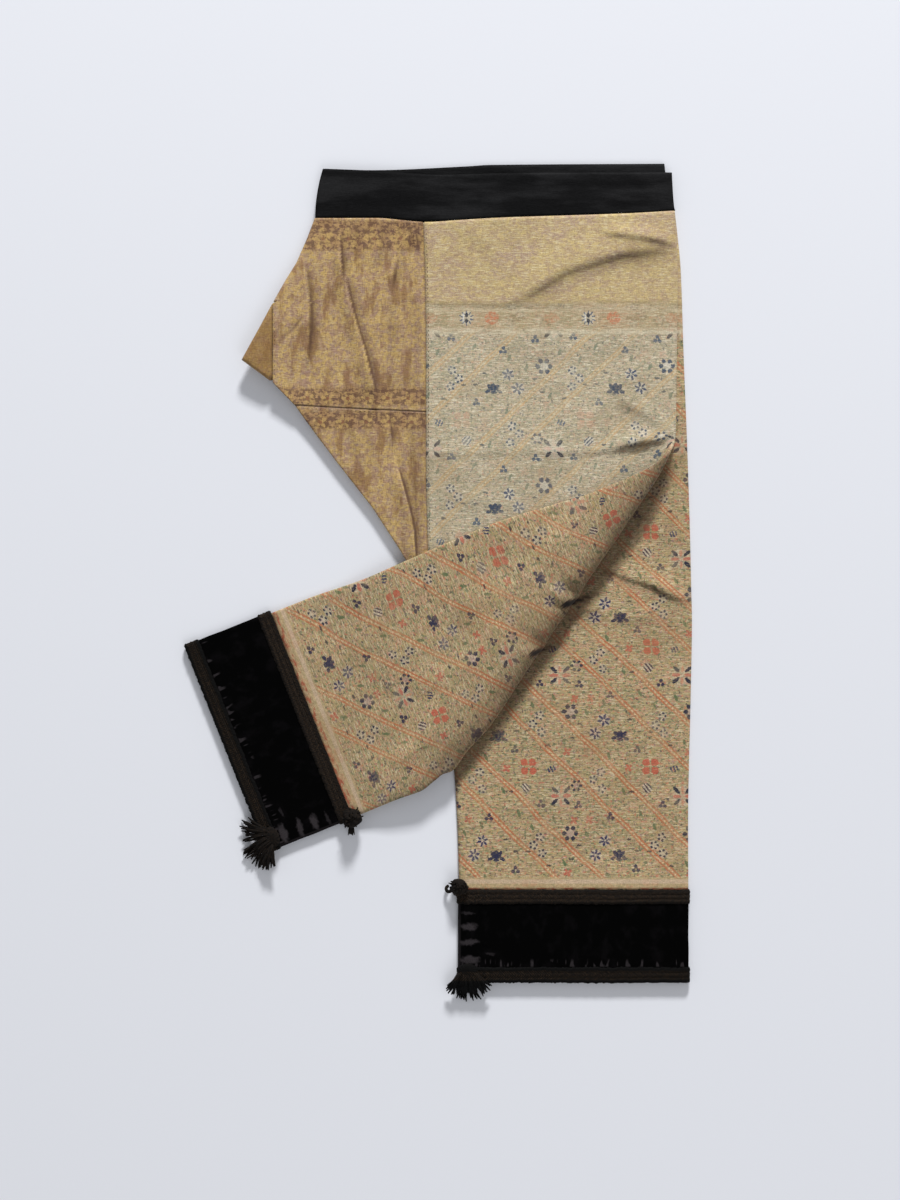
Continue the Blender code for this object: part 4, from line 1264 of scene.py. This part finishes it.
def figured_silk():
    """Beige silk with slanting beaded stripes and small flowers; its attribute's third part is the fading."""
    g = Graph("figured_silk")
    u, v, faded = g.parts(g.cloth)
    flat_raw = g.joined(u, v)
    drift = g.wander(flat_raw, 0.02, (7.0, 5.0, 0.0), 1.0, 0.5)
    flat = flat_raw + (g.wander(flat_raw, 0.62, (3.4, 3.0, 0.0)) + drift)
    light, warp, weft = threads(g, flat_raw, level=0.885)
    bare = g.band(g.noise(flat_raw, 0.024, 2.0, 0.6), 0.38, 0.56, 0.68, 1.0)
    wear = g.band(weft, 0.34, 0.48, 0.50, 1.0) * bare

    def paint(inner, outer):
        return g.mix(faded, inner, outer)

    colour = silk_ground(g, flat_raw, flat, paint)

    def lay(mask, inner, outer, strength=1.0, worn=1.0):
        """A motif over the colour so far, weaker where the cloth is worn and, below 1, where it has faded."""
        nonlocal colour
        share = mask * (wear * strength)
        if worn != 1.0:
            share = share * (1.0 - faded * (1 - worn))
        colour = g.mix(share, colour, paint(inner, outer))

    def lay_disc(spot, outside, inside, inner, outer, strength):
        lay(g.band(g.length(spot), outside, inside), inner, outer, strength)

    blue, white = ((40, 40, 60), (78, 88, 102)), ((208, 196, 176), (220, 216, 202))
    red, green = (186, 84, 66), (76, 100, 64)
    lines, ground, beads = stripe_masks(g, flat)
    lay(ground, (190, 148, 104), (196, 176, 136), 0.40)
    bright = g.band(g.noise(flat_raw, 0.05, 2.0, 0.6), 0.35, 0.62, 0.55, 1.0)
    lay(lines * bright, (182, 94, 56), (206, 166, 114), 0.84, 0.70)
    lay(beads, (226, 194, 154), (228, 212, 176), 0.70, 0.8)

    star = around(g, flat, 0.0, 0.0)
    lay_disc(star, 12.5, 9.5, *white, 0.28)
    lay(oval(g, folded(g, star, 6.4, 0.0), 4.8, 2.1), red, (214, 178, 158), 0.75)
    lay(oval(g, folded(g, star, 0.0, 6.4), 1.7, 4.2), (202, 124, 92), (216, 190, 166), 0.60)
    lay(oval(g, folded(g, star, 6.3, 6.0), 4.9, 2.1, math.pi / 4), (34, 36, 54), (50, 56, 68))

    flower = around(g, flat, 16.5, 10.0)
    lay_disc(flower, 3.6, 2.0, (168, 128, 132), white[1], 0.5)
    lay(dots(g, flower, 4.9, 1.9, 6), *blue)
    ring = around(g, flat, 10.5, -39.0)
    lay_disc(ring, 5.6, 3.4, (178, 152, 148), white[1], 0.55)
    lay(dots(g, ring, 6.2, 2.6, 6), *blue)

    rosettes = nearest_of(g, flat, ROSETTES)
    lay_disc(rosettes, 5.4, 4.4, *white, 0.40)
    lay(dots(g, rosettes, 3.5, 1.55, 5), *blue)
    bursts = nearest_of(g, flat, STARBURSTS)
    lay_disc(bursts, 6.6, 5.4, *white, 0.45)
    lay(petals(g, bursts, 6.8, 6, 0.3, 0.16), (44, 44, 80), (72, 84, 106))

    iris = around(g, flat, 62.0, -63.0)
    for x, y, half_x, half_y, turn in IRIS:
        lay(oval(g, folded(g, iris, x, y, False), half_x, half_y, turn), (34, 36, 66), (52, 70, 92))
    quatrefoil = around(g, flat, -32.5, 30.0)
    qx, qy, _ = g.parts(quatrefoil)
    blocks = petals(g, quatrefoil, 10.4, 4, math.pi / 4, 0.10, 0.35)
    lay(blocks * g.band(g.least(abs(qx), abs(qy)), 0.5, 1.4), (188, 84, 62), (204, 160, 132), 0.85, 0.55)
    lay(petals(g, nearest_of(g, flat, REDS), 4.9, 4, 0.6, 0.0, 0.6), red, (200, 162, 136), 0.80, 0.45)
    trefoils = nearest_of(g, flat, TREFOILS)
    lay(petals(g, trefoils, 4.8, 3, math.pi / 2, 0.12, 0.6), (48, 42, 66), (86, 98, 112))

    spot = around(g, flat, -36.0, 7.5)
    tulip = oval(g, spot, 5.0, 5.8, 0.7)
    lay(tulip, *white, 0.6)
    lay(tulip * bars(g, spot, 0.7, 1.0), (66, 46, 56), (104, 106, 110))
    spot = around(g, flat, -8.5, 27.5)
    lay(oval(g, spot, 5.4, 3.6, 0.35) * bars(g, spot, 0.35, 1.1), (40, 48, 82), (80, 96, 116))
    lay(oval(g, nearest_of(g, flat, DASHES), 2.9, 1.2), (44, 42, 50), (92, 96, 96), 0.9)
    lay(oval(g, nearest_of(g, flat, LEAVES), 1.7, 4.4, 0.4), green, (124, 132, 110), 0.85)

    colour = heading(g, flat_raw, colour)
    colour = border(g, flat_raw, colour, weft)
    colour = foot_bands(g, flat_raw, colour) * light
    stain = g.noise(flat_raw, 0.012, 3.0, 0.55)
    colour = with_painted_shade(g, g.mix(g.band(stain, 0.52, 0.68, 0.0, 0.22), colour, (134, 108, 70)))
    rough = g.band(weft, 0.35, 0.65, 0.78, 0.58)
    return g.finish(colour, rough, warp * 0.6 + weft, sheen=0.10, specular=0.28)


def from_top(g, flat):
    """Height in the weave, wavering a little."""
    return g.parts(flat)[1] + (g.noise(flat, 0.03, 2.0) - 0.5) * 5.0


def heading(g, flat, colour):
    """Plain gold heading below the waistband."""
    blotch = g.band(g.streaks(flat, 0.09, 0.13, 3.0, 0.65), 0.42, 0.60)
    mauve = g.band(g.streaks(flat, 0.020, 0.028, 2.0, 0.6), 0.47, 0.62, 0.0, 0.8)
    plain = g.mix(mauve, g.mix(blotch, (192, 170, 124), (180, 155, 122)), (178, 152, 130))
    plain = flecks(g, flat, plain, [
        (0.12, 0.20, 33.0, 0.54, 0.4, (210, 186, 122)),
        (0.40, 0.50, 3.0, 0.58, 0.45, (214, 192, 122)),
        (0.30, 0.44, 13.0, 0.58, 0.45, (160, 130, 96)),
        (0.12, 0.70, 23.0, 0.57, 0.5, (222, 208, 168)),
    ])
    return g.mix(g.band(from_top(g, flat), 149.0, 154.0), colour, plain)


def border(g, flat, colour, weft):
    """Border that parts the heading from the flowered field: ragged lines, faded clusters and a dark bush."""
    wobble = from_top(g, flat)
    ground = g.mix(g.band(g.noise(flat, 0.10, 3.0, 0.6), 0.4, 0.6), (184, 165, 131), (168, 151, 113))
    ground = g.mix(g.band(g.noise(flat, 0.018, 1.0), 0.46, 0.64, 0.0, 0.45), ground, (192, 156, 122))
    ground = flecks(g, flat, ground, [
        (0.08, 0.70, 7.0, 0.55, 0.60, (220, 208, 176)),
        (0.10, 0.60, 19.0, 0.56, 0.55, (146, 134, 96)),
        (0.30, 0.50, 31.0, 0.58, 0.50, (196, 146, 114)),
        (0.60, 0.10, 47.0, 0.60, 0.35, (150, 128, 94)),
    ])
    colour = g.mix(g.band(wobble, 113.0, 130.0) * g.band(wobble, 159.0, 143.0, 0.0, 0.8), colour, ground)
    ragged = g.band(g.streaks(flat, 0.05, 0.35, 3.0, 0.6), 0.40, 0.60, 0.15, 1.0)
    for middle, half, share, shade in BORDER_LINES:
        line = g.band(abs(wobble - middle), half + 2.0, half - 1.0, 0.0, share)
        colour = g.mix(line * ragged, colour, shade)
    moved = g.wander(flat, 0.4, (3.0, 3.0, 0.0)) + flat

    def spot_at(x):
        return g.wrap(moved - (x, BORDER_Y, 0.0), (REPEAT[0] / 2, 400.0, 1.0))

    blocks = g.band(g.streaks(flat, 0.28, 0.34, 2.0, 0.6), 0.42, 0.56, 0.15, 1.0)
    for x, half_x, half_y, shade, share in BORDER_CLUSTERS:
        mask = oval(g, spot_at(x), half_x, half_y) * blocks
        colour = g.mix(mask * g.band(weft, 0.32, 0.48, 0.4 * share, share), colour, shade)
    bush = spot_at(BORDER_BUSH_X)
    thread_gaps = g.band(weft, 0.32, 0.48, 0.55, 0.95)
    colour = g.mix(g.band(g.length(bush), 7.6, 5.6, 0.0, 0.5), colour, (216, 208, 186))
    colour = g.mix(petals(g, bush, 8.2, 10, 0.3, 0.46, 1.6) * thread_gaps, colour, (88, 96, 112))
    colour = g.mix(oval(g, folded(g, bush, 0.0, 2.9), 2.0, 2.6) * thread_gaps, colour, (40, 46, 60))
    return g.mix(oval(g, bush - (3.2, 0.0, 0.0), 0.9, 5.4) * 0.7, colour, (222, 220, 212))


def foot_bands(g, flat, colour):
    """Above the cuffs the pattern stops at a pale band, and the cloth's edge is reddish."""
    above = g.parts(flat)[1] - FOOT_OF_WEAVE
    plain = g.mix(g.band(g.noise(flat, 0.25, 2.0), 0.4, 0.6), (190, 166, 126), (172, 152, 112))
    colour = g.mix(g.band(above, 14.5, 12.0, 0.0, 0.75), colour, plain)
    colour = g.mix(g.band(abs(above - 9.0), 2.8, 1.6, 0.0, 0.45), colour, (212, 186, 164))
    worn = g.streaks(flat, 0.12, 0.3, 2.0, 0.6)
    return g.mix(g.band(above, 3.6, 1.6) * g.band(worn, 0.44, 0.60, 0.10, 0.85), colour, (158, 74, 50))


def gold_silk():
    """Mottled gold, brown and mauve silk with floral borders beside the seams."""
    g = Graph("gold_silk")
    x, y, _ = g.parts(g.cloth)
    raw = g.joined(x, y)
    flat = raw + g.wander(raw, 0.5, (5.0, 5.0, 0.0))
    light, warp, weft = threads(g, raw, 0.8, 0.8, 0.89, 0.3)
    blotch = g.streaks(raw, 0.10, 0.15, 4.0, 0.68)
    colour = g.mix(g.band(blotch, 0.40, 0.60), (184, 152, 100), (162, 134, 108))
    mauve = g.noise(raw * (0.045, 0.035, 1.0) + (40.0, 11.0, 0.0), 1.0, 3.0, 0.6)
    colour = g.mix(g.band(mauve, 0.46, 0.64, 0.0, 0.75), colour, (164, 134, 114))
    bloom = petals(g, g.wrap(flat, (7.4, 6.2, 1.0)), 6.8, 4, 0.4, 0.16, 0.4)
    bloom = bloom * g.band(blotch, 0.40, 0.54, 0.20, 0.75)
    colour = flecks(g, raw, g.mix(bloom, colour, (200, 168, 98)), [
        (0.10, 0.12, 5.0, 0.53, 0.60, (196, 164, 98)),
        (0.11, 0.09, 65.0, 0.53, 0.60, (158, 124, 106)),
        (0.20, 0.22, 45.0, 0.57, 0.40, (202, 172, 108)),
        (0.34, 0.42, 15.0, 0.58, 0.45, (134, 100, 72)),
        (0.12, 0.70, 25.0, 0.57, 0.45, (206, 184, 136)),
        (0.70, 0.10, 55.0, 0.58, 0.35, (140, 108, 80)),
        (0.30, 0.36, 35.0, 0.60, 0.35, (168, 140, 132)),
    ])
    brown = g.noise(raw * (0.07, 0.022, 1.0) + (3.0, 9.0, 0.0), 1.0, 3.0, 0.6)
    colour = g.mix(g.band(brown, 0.50, 0.64, 0.0, 0.68), colour, (130, 92, 56))
    colour = g.mix(g.band(x, PATCH_X + 1.0, PATCH_X - 1.0) * 0.68, colour, (130, 94, 42))
    vines = g.streaks(raw, 0.20, 0.24, 3.0, 0.65)
    for middle, half, beat, shift in GOLD_BORDERS:
        shade = g.mix(g.band(vines, 0.47, 0.54), (100, 68, 50), (166, 130, 86))
        spot = g.wrap(flat - (shift, middle - 0.2 * half, 0.0), (beat / 2, 200.0, 1.0))
        bloom = petals(g, spot, half * 0.72, 5, 0.5, 0.24, 0.7) * g.band(vines, 0.38, 0.50, 0.15, 0.85)
        shade = g.mix(bloom, shade, (190, 156, 94))
        shade = g.mix(g.band(g.length(spot), 2.4, 1.4), shade, (130, 84, 54))
        off = abs(g.parts(flat)[1] - middle)
        colour = g.mix(g.band(off, half + 1.5, half - 4.5, 0.0, 0.80), colour, shade)
    colour = with_painted_shade(g, colour * light, (78, 50, 34))
    rough = g.band(weft, 0.35, 0.65, 0.74, 0.52)
    return g.finish(colour, rough, warp * 0.7 + weft, sheen=0.10, specular=0.32)


def black_cotton():
    """Dull black cotton, greyer where it is worn."""
    g = Graph("black_cotton")
    light, warp, weft = threads(g, g.cloth, level=1.0)
    worn = g.streaks(g.cloth, 0.010, 0.045, 3.0, 0.6)
    colour = g.mix(g.band(worn, 0.40, 0.66), (12, 12, 13), (30, 30, 31))
    colour = g.mix(g.band(g.noise(g.cloth, 0.9, 3.0, 0.7), 0.74, 0.80, 0.0, 0.25), colour, (60, 58, 56))
    rough = g.band(weft, 0.3, 0.7, 0.95, 0.8)
    return g.finish(colour * light, rough, warp + weft + worn * 6.0, 0.5, specular=0.10)


def black_velvet():
    """Deep pile, paler in soft patches at the left end, which are worn pile with a painted sheen, and worn
    pale in ticks beside the hem braid.
    """
    g = Graph("black_velvet")
    _, y, from_left = g.parts(g.cloth)
    flat = g.joined(from_left, y)
    pile = g.noise(flat, 1.3, 2.0, 0.7)
    crush = g.streaks(flat, 0.06, 0.04, 3.0, 0.6)
    colour = g.mix(g.band(crush, 0.48, 0.70), (2, 2, 2), (8, 7, 8))
    moved = flat + g.wander(flat, 0.16, (14.0, 7.0, 0.0))
    # Pale patches: worn pile, with a painted sheen
    worn = 0.0
    for x0, y0, half_x, half_y, share in VELVET_PATCHES:
        sx, sy, _ = g.parts(moved - (x0, y0, 0.0))
        worn = g.most(worn, g.band(g.length(g.joined(sx / half_x, sy / half_y)), 1.15, 0.45, 0.0, share))
    ticks = g.band(y, -396.0, -401.0) * g.band(y, -405.8, -404.2)
    ticks = ticks * g.band(g.streaks(flat, 0.19, 0.05, 1.0, 0.4), 0.57, 0.63)
    rim = g.band(from_left, 2.5, 0.5, 0.0, 0.35)
    shown = g.most(g.most(worn, ticks * 0.65), rim) * g.band(pile, 0.3, 0.6, 0.6, 1.0)
    colour = g.mix(shown, colour, (56, 52, 54))
    tint = (0.6, 0.6, 0.65, 1.0)
    return g.finish(colour, 0.95, pile + crush * 2.0, 0.35, sheen=0.02, tint=tint, specular=0.02)


def dark_braid():
    """Black and dark brown braid, with slanting threads that change their lean at its middle."""
    g = Graph("dark_braid")
    x, y, _ = g.parts(g.cloth)
    tone = g.noise(g.cloth, 0.5, 3.0, 0.7)
    colour = g.mix(g.band(tone, 0.40, 0.66), (13, 11, 10), (32, 25, 19))
    colour = g.mix(g.band(y, -395.0, -404.0, 0.0, 0.95), colour, (4, 4, 4))
    off_middle = g.least(abs(y - sum(TOP_BRAID) / 2), abs(y - sum(HEM_BRAID) / 2))
    chevron = g.band(abs(g.wrap(x + off_middle, 1.3)), 0.9, 0.4) * g.band(off_middle, 5.5, 4.0)
    colour = g.mix(chevron * g.band(tone, 0.4, 0.6, 0.1, 0.5), colour, (62, 48, 34))
    fuzz = g.noise(g.cloth, 1.6, 3.0, 0.7)
    return g.finish(colour, g.band(tone, 0.3, 0.7, 0.75, 0.92), fuzz, sheen=0.01, specular=0.10)


def seam_thread():
    """Brown sewing thread."""
    g = Graph("seam_thread")
    return g.finish(g.mix(g.noise(g.cloth, 0.4, 1.0), (58, 40, 24), (84, 60, 36)), 0.7)


# Stage


def stage():
    """Pale seamless ground, soft light from beyond the waistband, and the camera straight above."""
    bpy.ops.mesh.primitive_grid_add(x_subdivisions=8, y_subdivisions=8, size=9.0, location=(0, 0, -0.0003))
    floor = bpy.context.object
    floor.name = "floor"
    g = Graph("ground")
    paper = g.mix(g.noise(g.cloth, 1.0, 1.0), (223, 225, 231), (224, 226, 232))
    floor.data.materials.append(g.finish(paper, 0.8))

    world = bpy.data.worlds.new("soft_room")
    world.use_nodes = True
    background = world.node_tree.nodes["Background"]
    background.inputs["Color"].default_value = (0.965, 0.975, 1.0, 1.0)
    background.inputs["Strength"].default_value = 0.40
    bpy.context.scene.world = world

    def area(name, place, aim, size, power):
        data = bpy.data.lights.new(name, "AREA")
        data.shape, data.size, data.size_y, data.energy = "RECTANGLE", size[0], size[1], power
        lamp = bpy.data.objects.new(name, data)
        lamp.location = place
        lamp.rotation_euler = (Vector(aim) - Vector(place)).to_track_quat("-Z", "Y").to_euler()
        bpy.context.scene.collection.objects.link(lamp)

    area("key", (0.75, 6.7, 3.1), (0.0, 0.0, 0.0), (1.4, 0.9), 690.0)
    area("fill", (0.9, -2.4, 2.6), (0.0, 0.0, 0.0), (2.0, 2.0), 20.0)

    camera = bpy.data.cameras.new("camera")
    camera.sensor_fit = "AUTO"
    camera.sensor_width = SENSOR
    camera.clip_end = 20.0
    camera.lens = SENSOR * CAMERA_HEIGHT / PICTURE_HEIGHT
    holder = bpy.data.objects.new("camera", camera)
    holder.location = ((AIM[0] - CENTRE[0]) * MM, (AIM[1] - CENTRE[1]) * MM, CAMERA_HEIGHT)
    bpy.context.scene.collection.objects.link(holder)
    bpy.context.scene.camera = holder
    bpy.context.scene.view_settings.view_transform = "Standard"


stage()
SILK, GOLD = figured_silk(), gold_silk()
COTTON, VELVET, BRAID = black_cotton(), black_velvet(), dark_braid()
legs(SILK)
waistband("under", UNDER_BAND_HEAD, UNDER_BAND_TOP_RIGHT, UNDER_MID, COTTON, False)
waistband("upper", UPPER_BAND_HEAD, UPPER_BAND_TOP_RIGHT, UPPER_MID, COTTON, True)
back_gusset(GOLD)
front_gusset(GOLD)
crotch_patch(GOLD)
lower_gusset("upper", UPPER_MID, LOWER_CREASES, GOLD)
lower_gusset("under", UNDER_MID, [], GOLD)
cuffs(VELVET, BRAID)
knots(BRAID)
tassels(BRAID)
stitches(seam_thread())
